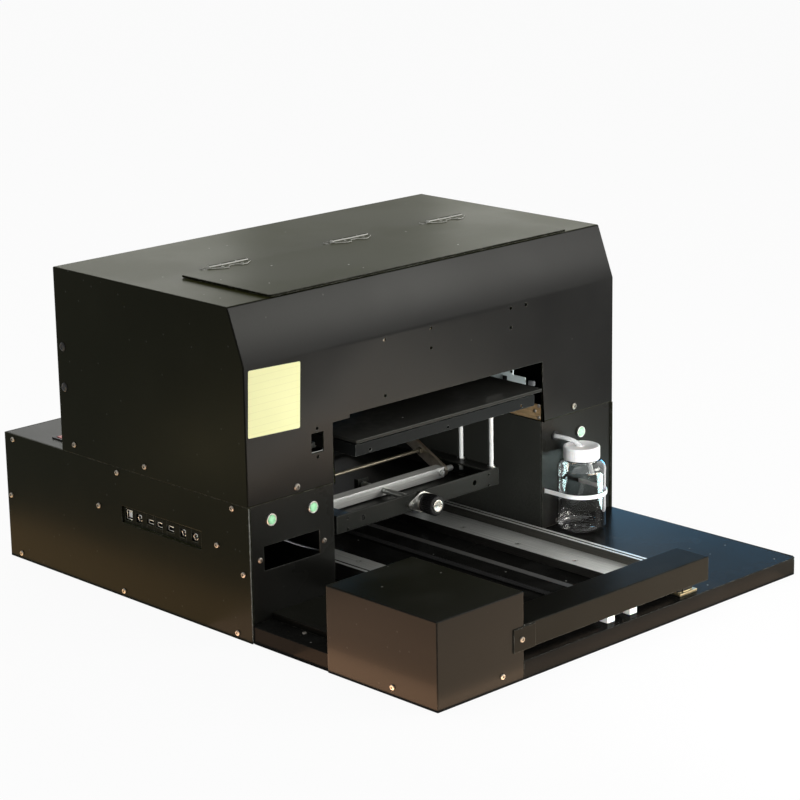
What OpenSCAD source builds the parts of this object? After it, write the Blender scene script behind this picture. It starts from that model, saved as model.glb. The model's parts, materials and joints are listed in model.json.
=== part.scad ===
// Flatbed printer with a hand-raised table: folded steel base and hood, a table that
// rolls on two aluminium rails, and a scissor lift driven by a knob on the table front.
// Origin: floor, middle of the footprint. +Z up, the front faces -Y.

/* [Body] */
// Overall width of the machine
body_w = 640; // [600:1:720]
// Overall depth of the base
body_d = 790; // [780:1:880]
// Height of the columns and of the rear deck
base_h = 168; // [155:1:180]
// Height of the front deck
deck_h = 22.5; // [20:0.5:26]
// Thickness of the folded sheet steel
sheet = 2; // [1.5:0.1:2.5]
// Setback of the column fronts behind the hood front
panel_inset = 1.5; // [1:0.5:3]
// Plan radius of the front right corner of the deck
lip_r = 5; // [3:0.5:12]
// Clearance between parts that slide past each other
slide_gap = 0.3; // [0.2:0.05:0.5]
// Radial clearance of a shaft in its bore
shaft_gap = 0.05; // [0.02:0.01:0.1]

/* [Hood] */
// Height of the hood above the base
hood_h = 236; // [215:1:270]
// Distance of the hood front from the middle of the machine
hood_front = 85.5; // [80:0.5:100]
// Distance of the hood back from the middle of the machine
hood_rear = 272; // [255:1:300]
// Height of the sloping strip along the front top edge
bevel_drop = 67; // [40:1:75]
// Depth of the sloping strip
bevel_run = 26; // [15:1:35]
// Width of the tunnel that the table runs through
opening_w = 367; // [350:1:390]
// Room above the table top under the hood front
print_room = 27.5; // [22:0.5:40]
// Width of the lower step at the left of the hood opening
step_w = 28; // [15:1:40]
// Drop of that step
step_h = 4.5; // [2:0.5:8]
// Width of the square cut-out beside the opening
port_w = 19.5; // [12:0.5:24]
// Height of the square cut-out
port_h = 24.5; // [16:0.5:30]

/* [Lid] */
// Width of the lid on the hood
lid_w = 510; // [460:1:560]
// Depth of the lid
lid_d = 163; // [150:1:190]
// Thickness of the lid
lid_t = 3; // [2:0.5:5]
// How far the lid laps over the hood cut-out on each side
lid_lap = 14; // [8:1:20]
// Width of one hinge
hinge_w = 62; // [40:1:80]
// Place of the left lid hinge
hinge_left = -178; // [-200:1:-150]
// Place of the middle lid hinge
hinge_middle = 26; // [-30:1:40]
// Place of the right lid hinge
hinge_right = 198; // [150:1:210]
// Radius of the hinge knuckles
knuckle_r = 3; // [2.5:0.1:4]
// Radius of the hinge pins
hinge_pin_r = 1.5; // [1:0.1:1.8]
// Thickness of the hinge leaves
leaf_t = 1.2; // [0.8:0.1:1.6]

/* [Drive box and front beam] */
// Width of the drive box in the front left corner
box_w = 138; // [120:1:150]
// Depth of the drive box
box_d = 178.5; // [150:0.5:200]
// Height of the drive box
box_h = 106; // [90:1:120]
// Length of the front beam from the drive box
beam_l = 326; // [300:0.5:350]
// Depth of the front beam
beam_d = 50; // [48:1:60]
// Height of the front beam above the deck
beam_h = 44; // [36:0.5:50]
// Height of the open slot under the front beam
beam_slot = 14; // [8:0.5:16]
// Height of the low cable cover behind the drive box
cover_h = 8.5; // [5:0.5:12]
// Width of the deck ledge left of the cable cover
cover_ledge = 33; // [20:1:40]

/* [Belt drive] */
// Distance of the drive shaft from the front
drive_back = 25; // [24.5:0.5:30]
// Radius of the belt pulleys
pulley_r = 7.8; // [6:0.1:8]
// Height of the drive shaft above the deck
drive_rise = 10.5; // [10.2:0.1:12]
// Radius of the drive shaft
drive_shaft_r = 4; // [3:0.5:5]
// Width of the table belt
belt_w = 10; // [8:1:20]
// Thickness of the belts
belt_t = 1.6; // [1.2:0.1:2]
// Distance of the rear pulley from the back
idler_back = 27; // [24:1:40]
// Side of the table motor
motor_s = 42; // [35:1:43]
// Length of the table motor
motor_l = 48; // [40:1:60]

/* [Rails and wheels] */
// Distance of the rail inner edges from the middle
rail_x = 80.5; // [70:0.5:90]
// Width of a rail
rail_w = 56.5; // [52:0.5:60]
// Height of the rail web above the deck
rail_h = 11.2; // [9:0.1:14]
// Height of the outer rail flange above the web
rail_lip = 10.8; // [6:0.1:14]
// Thickness of the outer rail flange
rail_lip_t = 12; // [8:0.5:14]
// Spacing of the rail screws
rail_pitch = 98; // [90:1:110]
// Radius of the table wheels
wheel_r = 13.7; // [12:0.1:15]
// Width of the table wheels
wheel_w = 14; // [10:1:16]
// Distance of the wheels from the middle
wheel_x = 98; // [96:0.5:102]
// Radius of the wheel axles
axle_r = 3; // [2.5:0.1:3.5]
// Distance between the two axles
wheelbase = 120; // [100:1:130]

/* [Table carriage] */
// Width of the carriage tray
tray_w = 287; // [280:1:300]
// Height of the carriage tray
tray_h = 23.6; // [20:0.1:28]
// Height of the tray above the wheel axles
truck_drop = 36.3; // [30:0.1:42]
// Setback of the tray front behind the hood front
tray_setback = 41; // [35:0.5:50]
// Length of the tray behind the rear lift pivot
tray_tail = 29; // [20:1:40]
// Width of the tray side flanges
flange_w = 22; // [16:1:24]

/* [Lift] */
// Length of the lift arms between pivots
arm_len = 198; // [190:1:206]
// Angle of the lift arms at rest
arm_rest = 27; // [25:0.5:29]
// Width of the lift arms
arm_w = 16; // [14:0.5:18]
// Thickness of the lift arms
arm_t = 5; // [4:0.5:5.5]
// Distance of the nut bar from the tray front
bar_back = 74.5; // [70:0.5:80]
// Depth of the nut bar
bar_d = 16; // [14:0.5:18]
// Height of the nut bar
bar_h = 14; // [12:0.5:16]
// Length of the nut bar
bar_l = 220; // [216:1:221]
// Height of the lower pivots above the tray underside
pivot_rise = 10.5; // [10.4:0.1:12]
// Radius of the lift pivots
pivot_r = 4; // [3:0.5:4.5]
// Clearance round the pivots that are left open
open_gap = 1.3; // [1.3:0.1:2]
// Radius of the lift screw
screw_r = 4; // [3:0.5:5]
// Distance of the tie rod along the arm
tie_at = 44; // [40:1:50]
// Radius of the tie rod
tie_r = 2.5; // [2:0.1:3]
// Travel of the table below its place at rest
lift_down = 25; // [15:1:26]
// Radius of the guide posts
post_r = 3; // [2.5:0.1:3.5]
// Distance of the front posts behind the tray front
post_back = 7; // [6.5:0.5:10]
// Spacing of the posts on one side
post_pitch = 55; // [50:0.5:66]
// Distance of the left posts behind the right ones
left_post_back = 18; // [0:1:20]

/* [Lift knob] */
// Radius of the knob
knob_r = 13; // [11:0.5:15]
// Length of the knob
knob_l = 21; // [16:1:26]
// Radius of the knob end cap
knob_cap_r = 8; // [6:0.5:10]
// Number of flutes round the knob
knob_flutes = 24; // [16:1:30]
// Spacing of the bearing flange bolts
bearing_pitch = 36.6; // [34:0.2:40]
// Thickness of the bearing flange
bearing_t = 5; // [4:0.5:6]

/* [Platen] */
// Width of the table top
platen_w = 325; // [318:1:340]
// Depth of the table top
platen_d = 486; // [440:1:500]
// Thickness of the table top
platen_t = 4.2; // [3:0.1:6]
// Overhang of the table top past its frame
platen_lap = 5.5; // [4:0.5:8]
// Overhang of the table top at the front
platen_nose = 9; // [6:0.5:12]
// Height of the table frame
frame_h = 15; // [12:0.5:20]
// Height of the spacer between frame and top
spacer_h = 4.3; // [3:0.1:6]
// Height of the frame top above the upper lift pivots
lug_rise = 27.6; // [24:0.1:32]
// How far the table top stands out in front of the hood
platen_ahead = 19.5; // [15:0.5:25]

/* [Print head] */
// Gap between the print head and the table top
head_gap = 15.5; // [12:0.5:20]
// Width of the head carriage
head_w = 80; // [70:1:90]
// Depth of the head carriage
head_d = 82; // [76:1:84]
// Height of the head carriage
head_h = 74; // [64:1:80]
// Parked place of the head right of the middle
head_park = 205; // [195:1:210]
// Radius of the head guide shaft
guide_r = 6; // [5:0.5:7]
// Height of the lit amber lips beside the tunnel
bracket_lip = 21; // [12:1:24]
// Depth of the engine beam
engine_beam_d = 40; // [30:1:44]
// Height of the engine beam
engine_beam_h = 60; // [50:1:70]
// Length of the head motor
head_motor_l = 38; // [30:1:44]
// Width of the curing lamp
lamp_w = 30; // [24:1:34]

/* [Controls] */
// Radius of the push buttons
button_r = 5.6; // [4.5:0.1:6.5]
// Travel of the push buttons
button_travel = 2; // [1:0.5:3]
// Spacing of the two buttons on the left column
button_pitch = 66; // [50:1:72]
// Height of the left buttons
button_z = 146.5; // [138:0.5:149]
// Height of the right button
right_button_z = 139.5; // [136:0.5:146]
// Width of the slot window in the left column
window_w = 88; // [70:1:92]
// Height of the slot window
window_h = 30; // [20:1:34]
// Height of the slot window middle
window_z = 100; // [92:1:106]
// Length of the socket recess in the left side
io_l = 152; // [130:1:160]
// Height of the socket recess
io_h = 22; // [18:0.5:26]
// Depth of the socket recess
io_deep = 12; // [8:0.5:14]
// Length of the power rocker switch
rocker_l = 25; // [20:0.5:28]
// Width of the power rocker switch
rocker_w = 13; // [10:0.5:16]

/* [Waste bottle] */
// Outer radius of the bottle
bottle_r = 32; // [28:0.5:33]
// Height of the straight bottle side
bottle_side = 81; // [70:1:85]
// Radius of the bottle neck
neck_r = 21; // [18:0.5:22]
// Height of the bottle neck
neck_h = 18; // [14:0.5:22]
// Wall of the bottle
bottle_wall = 1.6; // [1:0.1:2.5]
// Radius of the bottle cap
cap_r = 24; // [23:0.5:27]
// Height of the bottle cap
cap_h = 16.8; // [14:0.2:18]
// Width of the strap round the bottle
strap_w = 5.6; // [3:0.2:8]
// Thickness of the strap
strap_t = 1.3; // [0.8:0.1:2]

/* [Hidden] */
$fn = 48;
cut = 1;

left_x = -body_w / 2;
right_x = body_w / 2;
front_y = -body_d / 2;
rear_y = body_d / 2;

// Hood and tunnel
hood_y0 = -hood_front;
hood_y1 = hood_rear;
hood_z = base_h + hood_h;
tunnel_x = opening_w / 2;
column_x = (tunnel_x + right_x) / 2;
panel_y = hood_y0 + panel_inset;
side_fold = 4;

// Lid and hinges
lid_y0 = hood_y0 + bevel_run - 2;
lid_y1 = lid_y0 + lid_d;
lid_gap = 0.8;
lid_z = hood_z + lid_gap;
hinge_y = lid_y1 + knuckle_r + slide_gap;
hinge_z = lid_z + lid_t;
hinge_mid = 24;
leaf_reach = 16;
hinge_xs = [hinge_left, hinge_middle, hinge_right];

// Drive box, beam and belt drive
box_x = left_x + box_w;
box_y = front_y + box_d;
beam_x = box_x + beam_l;
beam_y = front_y + beam_d;
beam_z = deck_h + beam_h;
tab_t = 1.5;
tab_w = 18;
drive_y = front_y + drive_back;
drive_z = deck_h + drive_rise;
idler_y = rear_y - idler_back;
belt_r = pulley_r + slide_gap;
pulley_flange_r = pulley_r + belt_t + 0.6;
pulley_flange_t = 1.5;
block_w = 13;
block_d = 26;
block_x = belt_w / 2 + pulley_flange_t + 7;
bearing_l = 32;
shaft_x1 = beam_x - 14;
motor_x1 = box_x - 62;

// Rails, wheels and tray
rail_z = deck_h + rail_h;
rail_x1 = rail_x + rail_w;
rail_y0 = beam_y + slide_gap;
rail_y1 = rear_y - sheet - 5;
axle_z = rail_z + slide_gap + wheel_r;
tray_z = axle_z + truck_drop;
tray_x = tray_w / 2;
tray_top = tray_z + tray_h;
tray_y0 = hood_y0 + tray_setback;
cheek_t = 3;
hub_r = 6;
axle_ys = [tray_y0 + 104.5, tray_y0 + 104.5 + wheelbase];

// Lift
pivot_z = tray_z + pivot_rise;
bar_y = tray_y0 + bar_back;
arm_dy = arm_len * cos(arm_rest);
arm_dz = arm_len * sin(arm_rest);
rear_pivot_y = bar_y + arm_dy;
upper_z = pivot_z + arm_dz;
tray_y1 = rear_pivot_y + tray_tail;
arm_gap = 2;
rear_arm_x = bar_l / 2 - arm_t;
front_arm_x = bar_l / 2 + arm_gap;
pin_x1 = front_arm_x + arm_t + 14;
lug_t = 5;
lug_w = 34;
lug_drop = 12;
outer_lug_x = front_arm_x + arm_t + arm_gap;
inner_lug_x = rear_arm_x - arm_gap - lug_t;
slot_y0 = bar_y - 13;
slot_y1 = bar_y + 8;
post_ys = [tray_y0 + post_back, tray_y0 + post_back + post_pitch];
post_z = beam_z + lift_down + 1.5;
bush_r = post_r + 1.4;
post_x = tray_x - sheet - bush_r - shaft_gap;
post_places = [for (s = [-1, 1], y = post_ys) [s * post_x, s < 0 ? y + left_post_back : y]];
bush_h = 8;

// Knob
bearing_y = tray_y0 - bearing_t;
boss_l = 5;
boss_r = 12;
knob_y1 = bearing_y - boss_l - slide_gap;
knob_y0 = knob_y1 - knob_l;
knob_cap_t = 1.2;
screw_y1 = bar_y + 42;

// Platen and print head
frame_z1 = upper_z + lug_rise;
frame_z0 = frame_z1 - frame_h;
platen_z = frame_z1 + spacer_h + platen_t;
platen_y0 = hood_y0 - platen_ahead;
frame_x = platen_w / 2 - platen_lap;
frame_y0 = platen_y0 + platen_nose;
frame_y1 = platen_y0 + platen_d - platen_nose;
opening_z = platen_z + print_room;
head_z = platen_z + head_gap;
nozzle_h = 10;
head_y = hood_y0 + 85.5;
guide_y = head_y + head_d / 2 - 13;
guide_z = head_z + 56;
head_belt_y = head_y + head_d / 2 + 15;
head_belt_z = head_z + 57;
head_belt_w = 6;
head_pulley_r = 6;
head_motor_s = 42;
beam_front_y = head_belt_y + head_motor_s / 2;
upright_x = right_x - sheet - 18;
head_pulley_x = upright_x - 25;
engine_y1 = beam_front_y + engine_beam_d + 4;
engine_z1 = head_z + 92;

// Controls
bezel_r = 7.4;
bezel_t = 3.2;
barrel_r = bezel_r - 0.9;
barrel_l = 14;
button_proud = 4.7;
head_r = 3.4;
screw_head_h = 2;
proud = tab_t + screw_head_h;
io_y0 = 2.5;
io_z0 = 98;
rocker_x = left_x + 33;
rocker_y = rear_y - 88.5;
rocker_rim = 4;
rocker_pin_r = 1.2;
inlet_z = 60;

// Bottle
bottle_x = column_x - 28.75;
bottle_y = panel_y - 1.6 - bottle_r;
shoulder_r = bottle_r - neck_r;
neck_z = bottle_side + shoulder_r;
cap_z = neck_z + neck_h + 2 - cap_h;
strap_z = 70;
strap_x = bottle_r + slide_gap;
tube_hole = [column_x - 43.75, 144];
tube_r = 3;
tube_sides = 10;
// Middle line of the waste tube, from inside the column to inside the bottle, seen from its hole
tube_run = [[0, 14, 0], [0, 2, 0], [0.7, -9, 0], [2.8, -17.5, -0.5], [5.3, -23.2, -1.9], [8.2, -27.9, -4.4],
    [11, -31.6, -8], [13.6, -34.4, -12.6], [16.6, -36.9, -19], [20, -38.8, -27.6], [23.8, -40.2, -38],
    [27.8, -41.4, -50]];
tube_route = [for (p = tube_run) p + [tube_hole[0], panel_y, tube_hole[1]]];
cap_hole = [tube_hole[0] + 12.4, panel_y - 33.1];

// Shared shapes

// A block from corner p to corner q
module block(p, q) {
    translate(p)
        cube(q - p);
}

// A round bar along X, Y or Z
module bar_along_x(x0, x1, y, z, r) {
    translate([x0, y, z])
        rotate([0, 90, 0])
            cylinder(r = r, h = x1 - x0);
}

module bar_along_y(x, y0, y1, z, r) {
    translate([x, y1, z])
        rotate([90, 0, 0])
            cylinder(r = r, h = y1 - y0);
}

module bar_along_z(x, y, z0, z1, r) {
    translate([x, y, z0])
        cylinder(r = r, h = z1 - z0);
}

// An outline in Y and Z, given thickness t from x0 along X
module side_cut(x0, t) {
    translate([x0, 0, 0])
        rotate([90, 0, 90])
            linear_extrude(t)
                children();
}

// An outline in X and Z, given thickness t from y0 along Y
module front_cut(y0, t) {
    translate([0, y0 + t, 0])
        rotate([90, 0, 0])
            linear_extrude(t)
                children();
}

module both_sides() {
    children();
    mirror([1, 0, 0])
        children();
}

// A rectangle with round corners
module round_rect(x0, y0, x1, y1, r) {
    translate([x0 + r, y0])
        square([x1 - x0 - 2 * r, y1 - y0]);
    translate([x0, y0 + r])
        square([x1 - x0, y1 - y0 - 2 * r]);
    for (x = [x0 + r, x1 - r], y = [y0 + r, y1 - r])
        translate([x, y])
            circle(r);
}

// A strip of width w with round ends, from point a to point b
module strip(a, b, w) {
    len = norm(b - a);
    translate(a)
        rotate(atan2(b[1] - a[1], b[0] - a[0])) {
            translate([0, -w / 2])
                square([len, w]);
            circle(w / 2);
            translate([len, 0])
                circle(w / 2);
        }
}

// Points on an arc about c
function arc(c, r, a0, a1, n = 8) = [for (i = [0 : n])
    c + r * [cos(a0 + (a1 - a0) * i / n), sin(a0 + (a1 - a0) * i / n)]];

// The direction of a route at point i
function heading(p, i) = let (a = p[max(i - 1, 0)], b = p[min(i + 1, len(p) - 1)])
    (b - a) / norm(b - a);

// A tube swept along a route with n sides
module swept(p, r, n) {
    m = len(p);
    rings = [for (i = [0 : m - 1]) let (d = heading(p, i), s = cross([0, 0.2, 1], d),
        u = s / norm(s), v = cross(d, u))
        for (k = [0 : n - 1]) p[i] + r * (cos(360 * k / n) * u + sin(360 * k / n) * v)];
    sides = [for (i = [0 : m - 2], k = [0 : n - 1]) let (a = i * n + k, b = i * n + (k + 1) % n)
        each [[a, a + n, b], [b, a + n, b + n]]];
    ends = [[for (k = [0 : n - 1]) k], [for (k = [n - 1 : -1 : 0]) (m - 1) * n + k]];
    polyhedron(rings, concat(sides, ends));
}

// Base

// What the round front right corner of the deck leaves out, drawn in by inset
module corner_notch(inset) {
    r = lip_r - inset;
    translate([right_x - sheet - inset - r, front_y + inset])
        difference() {
            translate([0, -cut])
                square(r + cut);
            translate([0, r])
                circle(r);
        }
}

// The deck outline in front of the columns, drawn in by inset
module deck_outline(inset) {
    x1 = right_x - sheet - inset;
    difference() {
        translate([-x1, front_y + inset])
            square([2 * x1, panel_y - front_y - inset]);
        corner_notch(inset);
    }
}

// The floor plan of the drive box
module box_plan() {
    translate([left_x - cut, front_y - cut])
        square([box_w + cut, box_d + cut]);
}

module base_pan() color("#222222") {
    x1 = right_x - 2 * sheet;
    difference() {
        block([-x1, front_y + sheet, 0], [x1, rear_y - sheet, deck_h - sheet]);
        block([-x1 + sheet, front_y + 2 * sheet, sheet], [x1 - sheet, rear_y - 2 * sheet, deck_h]);
        block([-x1 - cut, front_y, sheet], [box_x, box_y, deck_h]);
        translate([0, 0, -cut])
            linear_extrude(deck_h + cut)
                corner_notch(sheet);
    }
}

module deck_plate() color("#1c1d1f") {
    difference() {
        union() {
            translate([0, 0, deck_h - sheet])
                linear_extrude(sheet)
                    deck_outline(0);
            translate([0, 0, 0])
                linear_extrude(deck_h - sheet)
                    difference() {
                        deck_outline(0);
                        deck_outline(sheet);
                        translate([-right_x, panel_y - sheet])
                            square([body_w, sheet]);
                    }
            block([-tunnel_x, panel_y - sheet, deck_h - sheet], [tunnel_x, rear_y - sheet, deck_h]);
        }
        translate([0, 0, -cut])
            linear_extrude(deck_h + 2 * cut)
                box_plan();
    }
}

module cable_cover() color("#1f1f1f") {
    x0 = left_x + cover_ledge;
    difference() {
        block([x0, box_y, deck_h], [-tunnel_x, panel_y, deck_h + cover_h]);
        block([x0 + sheet, box_y - cut, deck_h - cut], [-tunnel_x + cut, panel_y + cut, deck_h + cover_h - sheet]);
    }
}

// A side panel with its folded front edge
module side_panel_sheet() {
    block([left_x, panel_y - sheet, 0], [left_x + sheet, rear_y, base_h]);
    block([left_x, panel_y - sheet, deck_h], [left_x + side_fold, panel_y, base_h]);
}

module left_side_panel() color("#262422") {
    io_y1 = io_y0 + io_l;
    io_z1 = io_z0 + io_h;
    difference() {
        union() {
            side_panel_sheet();
            block([left_x, io_y0 - sheet, io_z0 - sheet], [left_x + io_deep + sheet, io_y1 + sheet, io_z1 + sheet]);
        }
        block([left_x - cut, io_y0, io_z0], [left_x + io_deep, io_y1, io_z1]);
    }
}

module right_side_panel() color("#262422") {
    mirror([1, 0, 0])
        side_panel_sheet();
}

module rear_panel() color("#222222") {
    slot_n = 9;
    slot_pitch = 12;
    x1 = right_x - sheet;
    difference() {
        block([-x1, rear_y - sheet, 0], [x1, rear_y, base_h]);
        block([column_x - 14, rear_y - sheet - cut, inlet_z - 10], [column_x + 14, rear_y + cut, inlet_z + 10]);
        for (i = [0 : slot_n - 1])
            block([-column_x - 40, rear_y - sheet - cut, 38 + i * slot_pitch],
                [-column_x + 40, rear_y + cut, 42 + i * slot_pitch]);
    }
}

module left_front_panel() color("#24292b") {
    difference() {
        block([left_x + sheet, panel_y, deck_h], [-tunnel_x, panel_y + sheet, base_h]);
        block([-column_x - window_w / 2, panel_y - cut, window_z - window_h / 2],
            [-column_x + window_w / 2, panel_y + sheet + cut, window_z + window_h / 2]);
        for (s = [-1, 1])
            bar_along_y(-column_x + s * button_pitch / 2, panel_y - cut, panel_y + sheet + cut, button_z, barrel_r + 0.1);
    }
}

module right_front_panel() color("#24292b") {
    difference() {
        block([tunnel_x, panel_y, deck_h], [right_x - sheet, panel_y + sheet, base_h]);
        bar_along_y(column_x + 5, panel_y - cut, panel_y + sheet + cut, right_button_z, barrel_r + 0.1);
        bar_along_y(tube_hole[0], panel_y - cut, panel_y + sheet + cut, tube_hole[1], tube_r + 1.5);
        for (s = [-1, 1])
            translate([bottle_x + s * (strap_x + strap_t / 2), 0, 0])
                block([-strap_t, panel_y - cut, strap_z - 0.6], [strap_t, panel_y + sheet + cut, strap_z + strap_w + 0.6]);
    }
}

// A column liner: the tunnel wall and the top plate in one folded sheet
module liner_sheet() {
    y0 = panel_y + sheet;
    block([tunnel_x, y0, deck_h], [tunnel_x + sheet, rear_y - sheet, base_h]);
    block([tunnel_x, y0, base_h - sheet], [right_x - sheet, rear_y - sheet, base_h]);
}

module left_column_liner() color("#202325") {
    difference() {
        mirror([1, 0, 0])
            liner_sheet();
        translate([rocker_x, rocker_y, 0])
            block([-rocker_w / 2 - 1.5, -rocker_l / 2 - 1.5, base_h - sheet - cut],
                [rocker_w / 2 + 1.5, rocker_l / 2 + 1.5, base_h + cut]);
    }
}

module right_column_liner() color("#202325") {
    liner_sheet();
}

// Hood

// Side outline of the hood, drawn in by inset, open below
module hood_outline(inset) {
    slope = atan2(bevel_drop, bevel_run);
    z0 = base_h - (inset > 0 ? cut : 0);
    polygon([[hood_y0 + inset, z0],
        [hood_y0 + inset, hood_z - bevel_drop - inset * tan((90 - slope) / 2)],
        [hood_y0 + bevel_run + inset * tan(slope / 2), hood_z - inset],
        [hood_y1 - inset, hood_z - inset],
        [hood_y1 - inset, z0]]);
}

module hood_shell() color("#2a2926") {
    vent_r = 2;
    // Distance from the middle, and drop below the sloping strip
    front_holes = [[-96, 8], [-96, 78], [-17, 8], [-17, 33], [125, 8], [125, 33], [153, 8]];
    difference() {
        side_cut(left_x, body_w)
            hood_outline(0);
        side_cut(left_x + sheet, body_w - 2 * sheet)
            hood_outline(sheet);
        block([-tunnel_x, hood_y0 - cut, base_h - cut], [tunnel_x, hood_y0 + sheet + cut, opening_z - step_h]);
        block([-tunnel_x + step_w, hood_y0 - cut, base_h], [tunnel_x, hood_y0 + sheet + cut, opening_z]);
        block([-tunnel_x, hood_y1 - sheet - cut, base_h - cut], [tunnel_x, hood_y1 + cut, opening_z]);
        block([-lid_w / 2 + lid_lap, lid_y0 + lid_lap, hood_z - sheet - cut],
            [lid_w / 2 - lid_lap, lid_y1 - 2 * lid_lap, hood_z + cut]);
        translate([-tunnel_x - 24.8, 0, base_h + 56]) {
            block([-port_w / 2, hood_y0 - cut, -port_h / 2], [port_w / 2, hood_y0 + sheet + cut, port_h / 2]);
            for (s = [-1, 1])
                bar_along_y(0, hood_y0 - cut, hood_y0 + sheet + cut, s * (port_h / 2 + 5.3), vent_r);
        }
        for (h = front_holes)
            bar_along_y(h[0], hood_y0 - cut, hood_y0 + sheet + cut, hood_z - bevel_drop - h[1], vent_r);
        for (z = [84, 136])
            bar_along_x(left_x - cut, left_x + sheet + cut, hood_y1 - 13, base_h + z, 5);
    }
}

module top_lid() color("#20211f") {
    translate([0, 0, lid_z])
        linear_extrude(lid_t)
            round_rect(-lid_w / 2, lid_y0, lid_w / 2, lid_y1, 4);
}

// The knuckles of a hinge, and the strips that join them to a leaf along -Y at height z
module knuckles(spans, z) {
    for (s = spans) {
        block([s[0], -knuckle_r - slide_gap - cut, z], [s[1], 0, z + leaf_t]);
        bar_along_x(s[0], s[1], 0, 0, knuckle_r);
    }
}

// The bow-tie leaf that lies on the lid, with two countersunk screw holes
module lid_leaves() color("#b4b6b6") {
    gap = hinge_mid / 2 + slide_gap;
    half = hinge_w / 2;
    edge = -knuckle_r - slide_gap;
    for (x = hinge_xs)
        translate([x, hinge_y, hinge_z])
            difference() {
                union() {
                    linear_extrude(leaf_t)
                        polygon([[-half, edge], [-half, edge - 4], [-half / 2 - 3, -leaf_reach], [-half / 2 + 5, -leaf_reach],
                            [-5, edge - 5], [5, edge - 5], [half / 2 - 5, -leaf_reach], [half / 2 + 3, -leaf_reach],
                            [half, edge - 4], [half, edge]]);
                    knuckles([[-half, -gap], [gap, half]], 0);
                }
                bar_along_x(-half - cut, half + cut, 0, 0, hinge_pin_r + shaft_gap);
                for (s = [-1, 1])
                    bar_along_z(s * half / 2, edge - 6, -cut, leaf_t + cut, 1.6);
            }
}

module lid_hinges() color("#8d8f90") {
    half = hinge_w / 2;
    leaf_z = hood_z - hinge_z;
    for (x = hinge_xs)
        translate([x, hinge_y, hinge_z]) {
            mirror([0, 1, 0]) {
                block([-half, -leaf_reach, leaf_z], [half, -knuckle_r - slide_gap, leaf_z + leaf_t]);
                knuckles([[-hinge_mid / 2, hinge_mid / 2]], leaf_z);
            }
            bar_along_x(-half, half, 0, 0, hinge_pin_r);
        }
}

// Drive box, beam and belt drive

module drive_box_cover() color("#2b2723") {
    difference() {
        block([left_x, front_y, 0], [box_x, box_y, box_h]);
        block([left_x + sheet, front_y + sheet, -cut], [box_x - sheet, box_y - sheet, box_h - sheet]);
        block([box_x - sheet - cut, front_y + sheet, -cut], [box_x + cut, box_y + cut, sheet]);
        block([left_x + sheet, box_y - sheet - cut, -cut], [box_x, box_y + cut, sheet]);
        block([box_x - sheet - cut, drive_y - 12, deck_h], [box_x + cut, drive_y + 12, deck_h + 28]);
    }
}

module front_beam() color("#262523") {
    slot_z = deck_h + beam_slot;
    belt_room = 3;
    window_x = belt_w / 2 + belt_room;
    difference() {
        block([box_x, front_y, deck_h], [beam_x, beam_y, beam_z]);
        block([box_x - cut, front_y + sheet, deck_h - cut], [beam_x - sheet, beam_y - sheet, beam_z - sheet]);
        block([box_x - cut, front_y - cut, deck_h - cut], [beam_x + cut, beam_y - sheet, slot_z]);
        block([-window_x, beam_y - sheet - cut, deck_h - cut],
            [window_x, beam_y + cut, drive_z + belt_r + belt_t + belt_room]);
    }
    block([box_x - tab_w, front_y - tab_t, slot_z], [box_x + tab_w, front_y, beam_z - sheet]);
}

module table_motor() color("#303236") {
    x0 = motor_x1 - motor_l;
    plate_t = 4;
    difference() {
        block([x0, drive_y - motor_s / 2, drive_z - motor_s / 2], [motor_x1, drive_y + motor_s / 2, drive_z + motor_s / 2]);
        for (y = [-1, 1], z = [-1, 1])
            translate([0, drive_y + y * motor_s / 2, drive_z + z * motor_s / 2])
                rotate([45, 0, 0])
                    block([x0 + 8, -5, -5], [motor_x1 - 8, 5, 5]);
    }
    difference() {
        block([motor_x1, drive_y - motor_s / 2, sheet], [motor_x1 + plate_t, drive_y + motor_s / 2, drive_z + motor_s / 2]);
        bar_along_x(motor_x1 - cut, motor_x1 + plate_t + cut, drive_y, drive_z, drive_shaft_r + 1);
    }
    block([motor_x1 + plate_t, drive_y - motor_s / 2, sheet], [motor_x1 + plate_t + 12, drive_y + motor_s / 2, sheet + plate_t]);
}

// A bearing block on the deck from x0, with a round top over the shaft
module pillow(x0, w) {
    difference() {
        side_cut(x0, w) {
            translate([drive_y - block_d / 2, deck_h])
                square([block_d, drive_z - deck_h]);
            translate([drive_y, drive_z])
                circle(block_d / 2);
        }
        bar_along_x(x0 - cut, x0 + w + cut, drive_y, drive_z, drive_shaft_r + shaft_gap);
        block([x0 - cut, drive_y - block_d, deck_h - block_d], [x0 + w + cut, drive_y + block_d, deck_h]);
    }
}

module shaft_blocks() color("#e4e4de") {
    both_sides()
        pillow(block_x, block_w);
}

module end_bearing() color("#b08a45") {
    x0 = shaft_x1 + 4 - bearing_l;
    plate_t = 3.5;
    plate_y = drive_y - block_d / 2;
    block([x0, plate_y - 3, deck_h], [x0 + bearing_l, plate_y + block_d + 3, deck_h + plate_t]);
    pillow(x0 + bearing_l / 2 - block_w / 2, block_w);
    for (s = [-1, 1])
        bar_along_z(x0 + bearing_l / 2 + s * (bearing_l / 2 - 6), plate_y + 4, deck_h, deck_h + plate_t + 3.5, 3.2);
}

// A flanged belt pulley about the X axis, w between its flanges
module pulley(w) {
    bar_along_x(-w / 2, w / 2, 0, 0, pulley_r);
    for (s = [-1, 1])
        translate([s * (w + pulley_flange_t) / 2, 0, 0])
            bar_along_x(-pulley_flange_t / 2, pulley_flange_t / 2, 0, 0, pulley_flange_r);
}

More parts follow.
